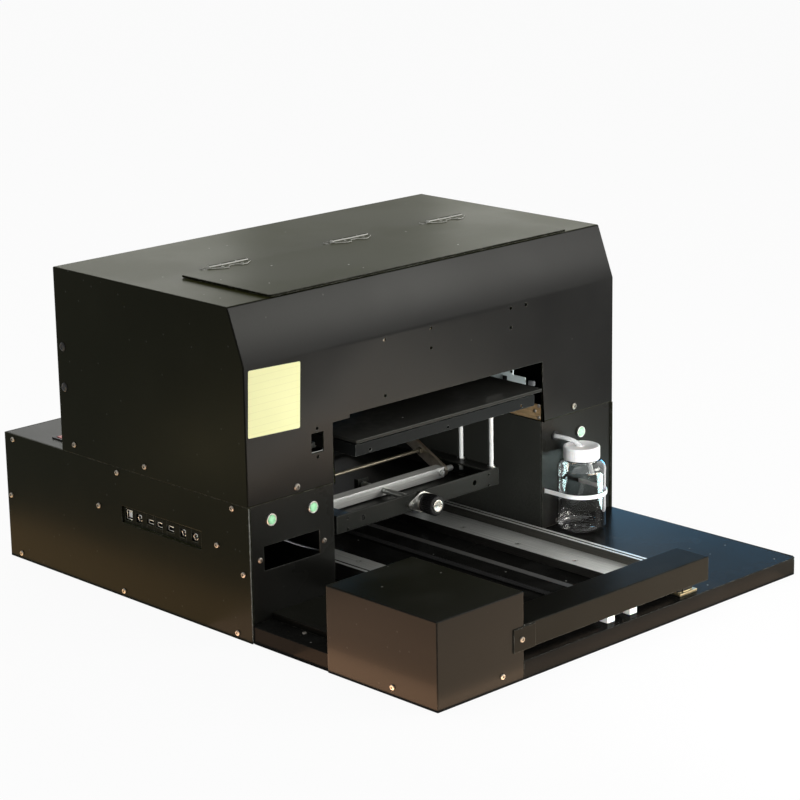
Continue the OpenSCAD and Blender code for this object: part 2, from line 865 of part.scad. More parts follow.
module drive_shaft() color("#a9abad") {
    coupling_r = 9;
    coupling_l = 26;
    bar_along_x(motor_x1 + slide_gap, shaft_x1, drive_y, drive_z, drive_shaft_r);
    bar_along_x(motor_x1 + 24, motor_x1 + 24 + coupling_l, drive_y, drive_z, coupling_r);
    translate([0, drive_y, drive_z])
        pulley(belt_w + 1);
}

module idler_pulley() color("#a9abad") {
    translate([0, idler_y, drive_z]) {
        pulley(belt_w + 1);
        bar_along_x(-block_x - 3, block_x + 3, 0, 0, drive_shaft_r);
    }
}

module idler_bracket() color("#7c7f82") {
    difference() {
        union() {
            both_sides()
                block([block_x, idler_y - 11, deck_h], [block_x + 3, rear_y - sheet, drive_z + 11]);
            block([-block_x, rear_y - sheet - 3, deck_h], [block_x, rear_y - sheet, drive_z + 11]);
        }
        bar_along_x(-block_x - 2 * block_w, block_x + 2 * block_w, idler_y, drive_z, drive_shaft_r + shaft_gap);
    }
}

// A belt outline round two centres, r inside
module belt_outline(a, b, r) {
    difference() {
        strip(a, b, 2 * (r + belt_t));
        strip(a, b, 2 * r);
    }
}

module table_belt() color("#2d2f31") {
    side_cut(-belt_w / 2, belt_w)
        belt_outline([drive_y, drive_z], [idler_y, drive_z], belt_r);
}

// Rails and carriage

module table_rails() color("#a7a9a8") {
    hole_r = 2.3;
    sink_r = 4.6;
    hole_x = rail_x + 12.5;
    first_y = rail_y0 + 23;
    groove_w = 3;
    groove_d = 1.5;
    both_sides()
        difference() {
            front_cut(rail_y0, rail_y1 - rail_y0)
                polygon([[rail_x, deck_h], [rail_x1, deck_h], [rail_x1, rail_z + rail_lip],
                    [rail_x1 - rail_lip_t, rail_z + rail_lip], [rail_x1 - rail_lip_t, rail_z], [rail_x, rail_z]]);
            for (y = [first_y : rail_pitch : rail_y1 - 20]) {
                bar_along_z(hole_x, y, deck_h - cut, rail_z + cut, hole_r);
                translate([hole_x, y, rail_z - sink_r + hole_r])
                    cylinder(r1 = hole_r, r2 = sink_r + 0.1, h = sink_r - hole_r + 0.1);
            }
            translate([rail_x1 - rail_lip_t / 2, 0, rail_z + rail_lip])
                block([-groove_w / 2, rail_y0 - cut, -groove_d], [groove_w / 2, rail_y1 + cut, cut]);
        }
}

module carriage_tray() color("#242728") {
    tray_in = tray_x - sheet;
    block_y = bar_y + 30;
    difference() {
        union() {
            difference() {
                block([-tray_x, tray_y0, tray_z], [tray_x, tray_y1, tray_top]);
                block([-tray_in, tray_y0 + sheet, tray_z + sheet], [tray_in, tray_y1 - sheet, tray_top + cut]);
            }
            both_sides()
                block([tray_x - flange_w, tray_y0 + sheet, tray_top - sheet], [tray_in, tray_y1 - sheet, tray_top]);
            block([-9, block_y, tray_z + sheet], [9, block_y + 8, pivot_z + 8]);
        }
        bar_along_y(0, tray_y0 - cut, block_y + 10, pivot_z, screw_r + shaft_gap);
        bar_along_y(0, tray_y0 - cut, tray_y0 + sheet + cut, pivot_z, screw_r + 4);
        bar_along_x(-tray_x - cut, tray_x + cut, rear_pivot_y, pivot_z, pivot_r + shaft_gap);
        both_sides() {
            bar_along_y(tray_x - 44.5, tray_y0 - cut, tray_y0 + sheet + cut, tray_z + 12, 3.5);
            for (z = [3, 17])
                bar_along_y(tray_x - 18.5, tray_y0 - cut, tray_y0 + sheet + cut, tray_z + z, 1.6);
        }
        for (p = post_places) {
            bar_along_z(p[0], p[1], tray_top - sheet - cut, tray_top + cut, bush_r + shaft_gap);
            bar_along_z(p[0], p[1], tray_z - cut, tray_z + sheet + cut, post_r + 0.8);
        }
    }
}

module tray_bushes() color("#c9cbc8") {
    for (p = post_places)
        difference() {
            union() {
                bar_along_z(p[0], p[1], tray_top - bush_h, tray_top, bush_r);
                bar_along_z(p[0], p[1], tray_top, tray_top + 2, bush_r + 1.2);
            }
            bar_along_z(p[0], p[1], tray_top - bush_h - cut, tray_top + 3, post_r + shaft_gap);
        }
}

module truck_legs() color("#2b2d2e") {
    leg_w = 18;
    strip_h = 16;
    top_z = tray_z - cheek_t;
    y0 = axle_ys[0] - 20;
    y1 = axle_ys[1] + 20;
    in_x = wheel_x - wheel_w / 2 - 2;
    out_x = wheel_x + wheel_w / 2 + 2;
    both_sides()
        difference() {
            union() {
                for (x = [in_x - cheek_t, out_x])
                    side_cut(x, cheek_t) {
                        translate([y0, tray_z - strip_h])
                            square([y1 - y0, strip_h]);
                        for (y = axle_ys)
                            strip([y, axle_z], [y, tray_z - leg_w / 2], leg_w);
                    }
                block([in_x, y0, top_z], [out_x, y1, tray_z]);
            }
            for (y = axle_ys)
                bar_along_x(in_x - 2 * cheek_t, out_x + 2 * cheek_t, y, axle_z, axle_r + shaft_gap);
        }
}

// One axle with its two wheels at y
module wheel_set(y) {
    hub_w = wheel_w + 4 - 2 * slide_gap;
    translate([0, y, axle_z]) {
        bar_along_x(-wheel_x - wheel_w, wheel_x + wheel_w, 0, 0, axle_r);
        both_sides()
            translate([wheel_x, 0, 0]) {
                bar_along_x(-hub_w / 2, hub_w / 2, 0, 0, hub_r);
                difference() {
                    bar_along_x(-wheel_w / 2, wheel_w / 2, 0, 0, wheel_r);
                    for (s = [0, 180])
                        rotate([0, 0, s])
                            translate([wheel_w / 2 - 2, 0, 0])
                                difference() {
                                    bar_along_x(0, 3, 0, 0, wheel_r - 2.5);
                                    bar_along_x(-cut, 4, 0, 0, hub_r);
                                }
                }
            }
    }
}

module front_wheels() color("#3a3d40") {
    wheel_set(axle_ys[0]);
}

module rear_wheels() color("#3a3d40") {
    wheel_set(axle_ys[1]);
}

module belt_clamp() color("#6f7376") {
    y0 = axle_ys[0] + wheelbase / 2 - 15;
    run_z = drive_z + belt_r;
    difference() {
        union() {
            block([-13, y0, run_z - 5], [13, y0 + 30, run_z + belt_t + 7]);
            block([-13, y0 + 10, run_z], [13, y0 + 20, tray_z]);
        }
        block([-belt_w / 2 - slide_gap, y0 - cut, run_z - slide_gap],
            [belt_w / 2 + slide_gap, y0 + 31, run_z + belt_t + slide_gap]);
    }
}

module rear_pivot_shaft() color("#b3b5b6") {
    bar_along_x(-tray_x + slide_gap, tray_x - slide_gap, rear_pivot_y, pivot_z, pivot_r);
}

// Lift screw and knob

// The two-bolt bearing flange: a round middle blended into two ears by its tangents
module bearing_outline() {
    ear_r = 5.5;
    ear_x = bearing_pitch / 2;
    mid_r = boss_r + 1.5;
    t = acos((mid_r - ear_r) / ear_x);
    ring = [for (a = [t, 180 - t, 180 + t, -t]) [cos(a), sin(a)]];
    circle(mid_r);
    for (s = [-1, 1])
        translate([s * ear_x, 0])
            circle(ear_r);
    polygon([mid_r * ring[0], [ear_x, 0] + ear_r * ring[0], [ear_x, 0] + ear_r * ring[3], mid_r * ring[3],
        mid_r * ring[2], [-ear_x, 0] + ear_r * ring[2], [-ear_x, 0] + ear_r * ring[1], mid_r * ring[1]]);
}

module knob_bearing() color("#c6c8c6") {
    difference() {
        union() {
            front_cut(bearing_y, bearing_t)
                translate([0, pivot_z])
                    bearing_outline();
            bar_along_y(0, bearing_y - boss_l, bearing_y, pivot_z, boss_r);
        }
        bar_along_y(0, bearing_y - boss_l - cut, tray_y0 + cut, pivot_z, screw_r + shaft_gap);
        for (s = [-1, 1])
            bar_along_y(s * bearing_pitch / 2, bearing_y - cut, tray_y0 + cut, pivot_z, 2.4);
    }
}

module lift_screw() color("#b9bbbb") {
    bar_along_y(0, knob_y0 + 2, screw_y1, pivot_z, screw_r);
}

module lift_knob() color("#17181a") {
    flute_r = 0.9;
    difference() {
        bar_along_y(0, knob_y0, knob_y1, pivot_z, knob_r);
        bar_along_y(0, knob_y0 + 2, knob_y1 + cut, pivot_z, screw_r + shaft_gap);
        for (i = [0 : knob_flutes - 1])
            translate([0, 0, pivot_z])
                rotate([0, i * 360 / knob_flutes, 0])
                    bar_along_y(knob_r, knob_y0 + 3, knob_y1 - 3, 0, flute_r);
    }
}

module knob_cap() color("#cfd1d0") {
    bar_along_y(0, knob_y0 - knob_cap_t, knob_y0, pivot_z, knob_cap_r);
}

module nut_bar() color("#cdcfcb") {
    difference() {
        union() {
            block([-bar_l / 2, bar_y - bar_d / 2, pivot_z - bar_h / 2], [bar_l / 2, bar_y + bar_d / 2, pivot_z + bar_h / 2]);
            both_sides() {
                bar_along_x(bar_l / 2 - 12, pin_x1, bar_y, pivot_z, pivot_r);
                bar_along_y(bar_l / 2 - 6, bar_y - bar_d / 2 - 3, bar_y, pivot_z, 4);
            }
        }
        bar_along_y(0, bar_y - bar_d, bar_y + bar_d, pivot_z, screw_r + shaft_gap);
    }
}

// Lift arms

module front_arms() color("#4a4238") {
    lower = [bar_y, pivot_z];
    upper = [rear_pivot_y, upper_z];
    mid = (lower + upper) / 2;
    tie = lower + (upper - lower) * tie_at / arm_len;
    both_sides()
        side_cut(front_arm_x, arm_t)
            difference() {
                strip(lower, upper, arm_w);
                translate(lower)
                    circle(pivot_r + shaft_gap);
                translate(mid)
                    circle(pivot_r + open_gap);
                translate(upper)
                    circle(pivot_r + shaft_gap);
                translate(tie)
                    circle(tie_r + shaft_gap);
            }
}

module rear_arms() color("#4a4238") {
    lower = [rear_pivot_y, pivot_z];
    upper = [bar_y, upper_z];
    mid = (lower + upper) / 2;
    both_sides() {
        difference() {
            side_cut(rear_arm_x, arm_t)
                strip(lower, upper, arm_w);
            bar_along_x(rear_arm_x - cut, rear_arm_x + arm_t + cut, lower[0], lower[1], pivot_r + shaft_gap);
        }
        bar_along_x(rear_arm_x + arm_t, front_arm_x + arm_t + 2, mid[0], mid[1], pivot_r);
        bar_along_x(inner_lug_x - 2, rear_arm_x, upper[0], upper[1], pivot_r);
    }
}

module arm_rods() color("#b7924c") {
    tie_y = bar_y + tie_at * cos(arm_rest);
    tie_z = pivot_z + tie_at * sin(arm_rest);
    nut_t = 4;
    x1 = front_arm_x + arm_t;
    bar_along_x(-x1 - nut_t, x1 + nut_t, tie_y, tie_z, tie_r);
    both_sides()
        for (x = [x1, front_arm_x - nut_t])
            translate([x, tie_y, tie_z])
                rotate([0, 90, 0])
                    cylinder(r = 2 * tie_r, h = nut_t, $fn = 6);
    bar_along_x(-outer_lug_x - lug_t - 2, outer_lug_x + lug_t + 2, rear_pivot_y, upper_z, pivot_r);
}

// Table top

module guide_posts() color("#e9eaea") {
    for (p = post_places)
        bar_along_z(p[0], p[1], post_z, frame_z1 - sheet, post_r);
}

module platen_frame() color("#2c2a28") {
    lug_z = upper_z - lug_drop;
    top_z = frame_z1 - sheet;
    difference() {
        block([-frame_x, frame_y0, frame_z0], [frame_x, frame_y1, frame_z1]);
        block([-frame_x + sheet, frame_y0 + sheet, frame_z0 - cut], [frame_x - sheet, frame_y1 - sheet, top_z]);
        for (s = [-1, 0, 1])
            bar_along_y(s * (frame_x - 24), frame_y0 - cut, frame_y0 + sheet + cut, frame_z0 + 4.5, 1.8);
    }
    both_sides() {
        side_cut(outer_lug_x, lug_t)
            difference() {
                translate([rear_pivot_y - lug_w / 2, lug_z])
                    square([lug_w, top_z + cut - lug_z]);
                translate([rear_pivot_y, upper_z])
                    circle(pivot_r + open_gap);
            }
        side_cut(inner_lug_x, lug_t)
            difference() {
                translate([slot_y0 - lug_w / 2, lug_z])
                    square([slot_y1 - slot_y0 + lug_w, top_z + cut - lug_z]);
                strip([slot_y0, upper_z], [slot_y1, upper_z], 2 * (pivot_r + open_gap));
            }
    }
}

module platen_top() color("#1b1b1a") {
    rim_x = frame_x - 9;
    rim_y0 = frame_y0 + 6;
    rim_y1 = frame_y1 - 6;
    rim_w = 14;
    translate([0, 0, platen_z - platen_t])
        linear_extrude(platen_t)
            round_rect(-platen_w / 2, platen_y0, platen_w / 2, platen_y0 + platen_d, 3);
    translate([0, 0, frame_z1])
        linear_extrude(spacer_h)
            difference() {
                translate([-rim_x, rim_y0])
                    square([2 * rim_x, rim_y1 - rim_y0]);
                translate([-rim_x + rim_w, rim_y0 + rim_w])
                    square([2 * (rim_x - rim_w), rim_y1 - rim_y0 - 2 * rim_w]);
            }
}

// Print engine

module engine_brackets() color("#b98a3a") {
    y0 = panel_y + 2 * sheet;
    both_sides()
        front_cut(y0, engine_y1 - y0)
            union() {
                translate([tunnel_x + sheet, base_h])
                    square([sheet, bracket_lip]);
                translate([tunnel_x + sheet, base_h])
                    square([upright_x - tunnel_x - sheet, sheet]);
                translate([upright_x - sheet, base_h])
                    square([sheet, engine_z1 - base_h]);
            }
}

module engine_beam() color("#35383a") {
    z1 = engine_z1 - 8;
    z0 = z1 - engine_beam_h;
    side_cut(-upright_x + sheet, 2 * (upright_x - sheet))
        difference() {
            translate([beam_front_y, z0])
                square([engine_beam_d, engine_beam_h]);
            translate([beam_front_y + sheet, z0 + sheet])
                square([engine_beam_d, engine_beam_h - 2 * sheet]);
        }
}

module head_rail() color("#c3c5c6") {
    bar_along_x(-upright_x + sheet, upright_x - sheet, guide_y, guide_z, guide_r);
}

module head_drive() color("#3b3d40") {
    z0 = head_belt_z - 6;
    half = head_motor_s / 2;
    block([-head_pulley_x - half, head_belt_y - half, z0 - head_motor_l], [-head_pulley_x + half, head_belt_y + half, z0]);
    bar_along_z(-head_pulley_x, head_belt_y, z0, z0 + head_belt_w + 4, head_pulley_r);
    block([head_pulley_x - 10, head_belt_y - 10, z0 - 4], [head_pulley_x + 10, beam_front_y, z0]);
    bar_along_z(head_pulley_x, head_belt_y, z0, z0 + head_belt_w + 4, head_pulley_r);
    translate([0, 0, z0 + 2])
        linear_extrude(head_belt_w)
            belt_outline([-head_pulley_x, head_belt_y], [head_pulley_x, head_belt_y], head_pulley_r + slide_gap);
}

module head_carriage() color("#3f4348") {
    z0 = head_z + nozzle_h;
    x0 = head_park - head_w / 2;
    x1 = head_park + head_w / 2;
    y0 = head_y - head_d / 2;
    y1 = head_y + head_d / 2;
    nose = 22;
    clamp_y = head_belt_y - head_pulley_r - slide_gap - belt_t - slide_gap;
    difference() {
        side_cut(x0, head_w)
            polygon([[y0, z0], [y1, z0], [y1, z0 + head_h], [y0 + nose, z0 + head_h], [y0, z0 + head_h - nose]]);
        bar_along_x(x0 - cut, x1 + cut, guide_y, guide_z, guide_r + shaft_gap);
        for (i = [0 : 3])
            block([x0 + 8 + i * 17, y0 + nose, z0 + head_h - 18], [x0 + 21 + i * 17, y1 - 30, z0 + head_h + cut]);
    }
    block([head_park - 10, y1, head_belt_z - 6], [head_park + 10, clamp_y, head_belt_z + 6]);
}

module print_head() color("#8e979c") {
    half_w = head_w / 2 - 10;
    half_d = head_d / 2 - 15;
    block([head_park - half_w, head_y - half_d, head_z + 3], [head_park + half_w, head_y + half_d, head_z + nozzle_h]);
    block([head_park - half_w + 8, head_y - half_d + 6, head_z], [head_park + half_w - 8, head_y + half_d - 6, head_z + 3]);
}

module uv_lamp() color("#5a5d61") {
    x1 = head_park - head_w / 2;
    x0 = x1 - lamp_w;
    half_d = head_d / 2 - 9;
    z0 = head_z + 4;
    z1 = guide_z - guide_r - 4;
    fin_h = 18;
    fin_n = 8;
    fin_pitch = (2 * half_d - 3) / fin_n;
    difference() {
        block([x0, head_y - half_d, z0], [x1, head_y + half_d, z1]);
        for (i = [0 : fin_n - 1])
            block([x0 - cut, head_y - half_d + 3 + i * fin_pitch, z1 - fin_h],
                [x1 - 4, head_y - half_d + i * fin_pitch + fin_pitch, z1 + cut]);
    }
}

// Waste bottle

module waste_bottle() color("#dfe6ea", 0.4) {
    base_r = 4;
    w = bottle_wall;
    outer = concat([[0, 0]], arc([bottle_r - base_r, base_r], base_r, -90, 0),
        arc([bottle_r - shoulder_r, bottle_side], shoulder_r, 0, 90), [[neck_r, neck_z + neck_h]]);
    inner = concat([[neck_r - w, neck_z + neck_h]],
        arc([bottle_r - shoulder_r, bottle_side], shoulder_r - w, 90, 0),
        arc([bottle_r - base_r, base_r], base_r - w, 0, -90), [[0, w]]);
    translate([bottle_x, bottle_y, deck_h])
        rotate_extrude()
            polygon(concat(outer, inner));
}

module bottle_cap() color("#f3f3f0") {
    rib_n = 40;
    lid = 2;
    difference() {
        translate([bottle_x, bottle_y, deck_h + cap_z])
            difference() {
                cylinder(r = cap_r, h = cap_h);
                translate([0, 0, -cut])
                    cylinder(r = neck_r + 0.1, h = cap_h - lid + cut);
                for (i = [0 : rib_n - 1])
                    rotate(i * 360 / rib_n)
                        bar_along_z(cap_r + 0.3, 0, -cut, cap_h - 2.5, 0.9);
            }
        translate([0, 0, deck_h + cap_z])
            bar_along_z(cap_hole[0], cap_hole[1], cap_h - lid - cut, cap_h + cut, tube_r + 2.2);
    }
}

module bottle_strap() color("#f1f1ee") {
    back_y = panel_y + sheet + 1 - bottle_y;
    translate([bottle_x, bottle_y, strap_z])
        linear_extrude(strap_w)
            difference() {
                union() {
                    circle(strap_x + strap_t);
                    translate([-strap_x - strap_t, 0])
                        square([2 * (strap_x + strap_t), back_y]);
                }
                circle(strap_x);
                translate([-strap_x, 0])
                    square([2 * strap_x, back_y + cut]);
            }
}

module waste_tube() color("#d5dadd", 0.6) {
    swept(tube_route, tube_r, tube_sides);
}

// Controls

button_places = [[-column_x - button_pitch / 2, button_z], [-column_x + button_pitch / 2, button_z],
    [column_x + 5, right_button_z]];

module button_bezels() color("#b8bab9") {
    for (p = button_places)
        difference() {
            union() {
                bar_along_y(p[0], panel_y - bezel_t, panel_y, p[1], bezel_r);
                bar_along_y(p[0], panel_y, panel_y + barrel_l, p[1], barrel_r);
            }
            bar_along_y(p[0], panel_y - bezel_t - cut, panel_y + barrel_l - 2, p[1], button_r + slide_gap);
        }
}

// One push button with a domed face
module button(p) {
    dome = 1.6;
    y0 = panel_y - button_proud;
    depth = button_proud + barrel_l - 2 - button_travel - slide_gap;
    translate([p[0], y0, p[1]])
        rotate([-90, 0, 0])
            rotate_extrude()
                polygon(concat([for (i = [0 : 8]) [button_r * sin(i * 90 / 8), dome * (1 - cos(i * 90 / 8))]],
                    [[button_r, depth], [0, depth]]));
}

module left_button() color("#8fe3a8") {
    button(button_places[0]);
}

module middle_button() color("#8fe3a8") {
    button(button_places[1]);
}

module right_button() color("#8fe3a8") {
    button(button_places[2]);
}

module power_rocker() color("#a8322c") {
    half = rocker_l / 2 - 1;
    translate([rocker_x, rocker_y, base_h])
        side_cut(-rocker_w / 2 + slide_gap, rocker_w - 2 * slide_gap)
            difference() {
                polygon([[-half + 1, -6], [half - 1, -6], [half, 3], [0, 2], [-half, 6.5]]);
                circle(rocker_pin_r + shaft_gap);
            }
}

module electronics() color("#1d1e20") {
    io_x = left_x + io_deep;
    port_l = 7;
    // Place along the recess, width, height and bore of each socket; a socket without a bore is square inside
    ports = [[15, 11, 11, 3.4], [37, 11, 11, 3.4], [61, 13, 8, 0], [82.5, 12, 8, 0], [99.5, 13, 7, 0],
        [121.5, 11, 11, 3.4], [141.5, 14, 14, 0]];
    supply_w = 84;
    supply_l = 190;
    supply_h = 48;
    board_w = 90;
    // Power supply and control board on the pan floor
    block([column_x - supply_w / 2, 100, sheet], [column_x + supply_w / 2, 100 + supply_l, sheet + supply_h]);
    translate([-column_x, 0, sheet]) {
        block([-board_w / 2, 0, 6], [board_w / 2, 150, 7.6]);
        for (x = [-1, 1], y = [6, 144])
            bar_along_z(x * (board_w / 2 - 6), y, 0, 6, 3);
    }
    // Sockets in the side recess
    for (p = ports)
        translate([io_x, io_y0 + p[0], io_z0 + io_h / 2])
            difference() {
                block([-port_l, -p[1] / 2, -p[2] / 2], [0, p[1] / 2, p[2] / 2]);
                if (p[3] > 0)
                    bar_along_x(-port_l - cut, -2, 0, 0, p[3]);
                else
                    block([-port_l - cut, -p[1] / 2 + 2, -p[2] / 2 + 2], [-2, p[1] / 2 - 2, p[2] / 2 - 2]);
            }
    // Power inlet in the rear panel
    translate([column_x, rear_y, inlet_z])
        difference() {
            union() {
                block([-25, 0, -13], [25, proud, 13]);
                block([-13.5, -22, -9.5], [13.5, 0, 9.5]);
            }
            block([-12, -16, -8], [12, proud + cut, 8]);
        }
    // Frame of the power rocker
    translate([rocker_x, rocker_y, 0])
        difference() {
            union() {
                block([-rocker_w / 2 - rocker_rim, -rocker_l / 2 - rocker_rim, base_h],
                    [rocker_w / 2 + rocker_rim, rocker_l / 2 + rocker_rim, base_h + 2]);
                block([-rocker_w / 2 - 1.2, -rocker_l / 2 - 1.2, base_h - 14],
                    [rocker_w / 2 + 1.2, rocker_l / 2 + 1.2, base_h]);
            }
            block([-rocker_w / 2, -rocker_l / 2, base_h - 12], [rocker_w / 2, rocker_l / 2, base_h + 2 + cut]);
        }
    bar_along_x(rocker_x - rocker_w / 2 - 1, rocker_x + rocker_w / 2 + 1, rocker_y, base_h, rocker_pin_r);
}

// Screw heads

// A round head of height screw_head_h along -Y, with a hexagon socket
module screw_head(r) {
    difference() {
        bar_along_y(0, -screw_head_h, 0, 0, r);
        translate([0, -screw_head_h + 1.2, 0])
            rotate([90, 0, 0])
                cylinder(r = 0.5 * r, h = 2, $fn = 6);
    }
}

module screw_heads() color("#4c4742") {
    io_mid_z = io_z0 + 0.55 * io_h;
    side_places = [[rear_y - 18, base_h - 7], [rear_y - 8, base_h / 2], [rear_y - 24, 8],
        [io_y0 + io_l + 6, base_h - 7], [io_y0 + io_l + 2, 8], [io_y0 + io_l + 46, io_mid_z],
        [io_y0 - 29.5, io_mid_z], [panel_y + 27, base_h - 6], [panel_y + 10, base_h / 2], [panel_y + 24, 8],
        [hood_y1 - 27, base_h + 12], [hood_y1 - 167, base_h + 12]];
    for (p = side_places) {
        translate([left_x, p[0], p[1]])
            rotate([0, 0, -90])
                screw_head(head_r);
        translate([right_x, p[0], p[1]])
            rotate([0, 0, 90])
                screw_head(head_r);
    }
    translate([left_x, box_y - 107.5, 11.5])
        rotate([0, 0, -90])
            screw_head(head_r);
    // Column fronts
    for (s = [-1, 1])
        translate([-column_x + s * (window_w / 2 + 7), panel_y, window_z])
            screw_head(head_r);
    for (s = [-1, 1])
        translate([s * (column_x - 8.5), hood_y0, base_h + 9])
            screw_head(head_r + 1);
    translate([tunnel_x + 28.5, panel_y, deck_h + 5])
        screw_head(head_r - 0.6);
    // Drive box and beam
    translate([box_x - 35.5, front_y, 14])
        screw_head(head_r);
    translate([box_x - 5, front_y - tab_t, deck_h + beam_slot + 14])
        screw_head(head_r);
    // Cable cover ledge and rear panel
    translate([left_x + cover_ledge - 6, box_y + 68, deck_h])
        rotate([-90, 0, 0])
            screw_head(head_r - 0.4);
    for (x = [-1, 1], z = [10, base_h - 10])
        translate([x * (right_x - 16), rear_y, z])
            rotate([0, 0, 180])
                screw_head(head_r);
}

base_pan();
deck_plate();
cable_cover();
left_side_panel();
right_side_panel();
rear_panel();
left_front_panel();
right_front_panel();
left_column_liner();
right_column_liner();
hood_shell();
top_lid();
lid_leaves();
lid_hinges();
drive_box_cover();
front_beam();
table_motor();
shaft_blocks();
end_bearing();
drive_shaft();
idler_pulley();
idler_bracket();
table_belt();
table_rails();
carriage_tray();
tray_bushes();
truck_legs();
front_wheels();
rear_wheels();
belt_clamp();
rear_pivot_shaft();
knob_bearing();
lift_screw();
lift_knob();
knob_cap();
nut_bar();
front_arms();
rear_arms();
arm_rods();
guide_posts();
platen_frame();
platen_top();
engine_brackets();
engine_beam();
head_rail();
head_drive();
head_carriage();
print_head();
uv_lamp();
waste_bottle();
bottle_cap();
bottle_strap();
waste_tube();
button_bezels();
left_button();
middle_button();
right_button();
power_rocker();
electronics();
screw_heads();
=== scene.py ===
"""Looks of a flatbed printer: coated sheet steel, a rolling table on a scissor lift, and its fittings."""

import json
import logging
import math
from dataclasses import dataclass, field
from enum import Enum
from typing import Any, Callable, NamedTuple, Optional, Sequence, Union

import bmesh
import bpy
from mathutils import Matrix, Vector

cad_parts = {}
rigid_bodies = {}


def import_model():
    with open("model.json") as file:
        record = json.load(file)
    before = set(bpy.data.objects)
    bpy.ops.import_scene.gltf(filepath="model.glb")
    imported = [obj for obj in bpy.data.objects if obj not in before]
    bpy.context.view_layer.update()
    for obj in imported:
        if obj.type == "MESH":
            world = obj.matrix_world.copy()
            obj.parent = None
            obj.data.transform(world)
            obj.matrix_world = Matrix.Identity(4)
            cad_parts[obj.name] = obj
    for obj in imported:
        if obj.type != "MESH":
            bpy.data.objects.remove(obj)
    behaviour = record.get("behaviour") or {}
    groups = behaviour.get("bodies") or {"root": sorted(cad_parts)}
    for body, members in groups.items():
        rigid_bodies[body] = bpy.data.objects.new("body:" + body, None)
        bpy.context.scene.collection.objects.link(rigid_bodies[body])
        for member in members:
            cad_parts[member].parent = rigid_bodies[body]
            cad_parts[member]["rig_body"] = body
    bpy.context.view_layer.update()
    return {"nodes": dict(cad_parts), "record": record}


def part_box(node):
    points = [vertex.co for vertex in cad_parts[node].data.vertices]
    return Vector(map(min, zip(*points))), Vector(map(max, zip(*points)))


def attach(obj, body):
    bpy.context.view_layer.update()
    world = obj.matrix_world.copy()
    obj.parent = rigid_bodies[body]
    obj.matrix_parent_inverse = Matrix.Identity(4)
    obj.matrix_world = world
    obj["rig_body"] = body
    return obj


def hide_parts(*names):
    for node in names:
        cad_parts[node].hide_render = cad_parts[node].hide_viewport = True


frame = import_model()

LOG = logging.getLogger("printer")
MM = 0.001
TURN = 2 * math.pi
CARD_LIFT = 2 * MM
SIDES = (-1, 1)
# Least share of a face's normal along a direction for the face to look that way.
FACING = 0.8
Pair = tuple[float, float]
Point = tuple[float, float, float]
Colour = tuple[float, float, float]
Span = tuple[Point, Point]
Profile = Sequence[tuple]
Vert = bmesh.types.BMVert
Socket = bpy.types.NodeSocket
Value = Union[float, Sequence[float], Socket]
RingShape = Callable[[float], float]
FaceTest = Callable[[bmesh.types.BMFace], bool]


class Axis(Enum):
    """Directions of the machine's frame, with the front facing -Y."""

    RIGHT = (1, 0, 0)
    LEFT = (-1, 0, 0)
    BACK = (0, 1, 0)
    FRONT = (0, -1, 0)
    UP = (0, 0, 1)

    @property
    def vector(self) -> Vector:
        """The direction as a vector."""
        return Vector(self.value)


class Body(Enum):
    """Moving bodies that new pieces ride on."""

    BASE = "base"
    TABLE = "table"
    HEAD = "head"


class Effect(Enum):
    """Surface effects that several finishes share."""

    EDGE_WEAR = "edge_wear"
    GRAIN = "grain"
    SMUDGES = "smudges"
    DUST = "dust"
    BRUSHING = "brushing"


def table(**rows: Any) -> Any:
    """A dataclass field that starts as a table of the given rows."""
    return field(default_factory=lambda: dict(rows))


def spaced(values: dict[str, Value]) -> dict[str, Value]:
    """Values by the names of sockets, where underscores stand for spaces."""
    return {key.replace("_", " "): value for key, value in values.items()}


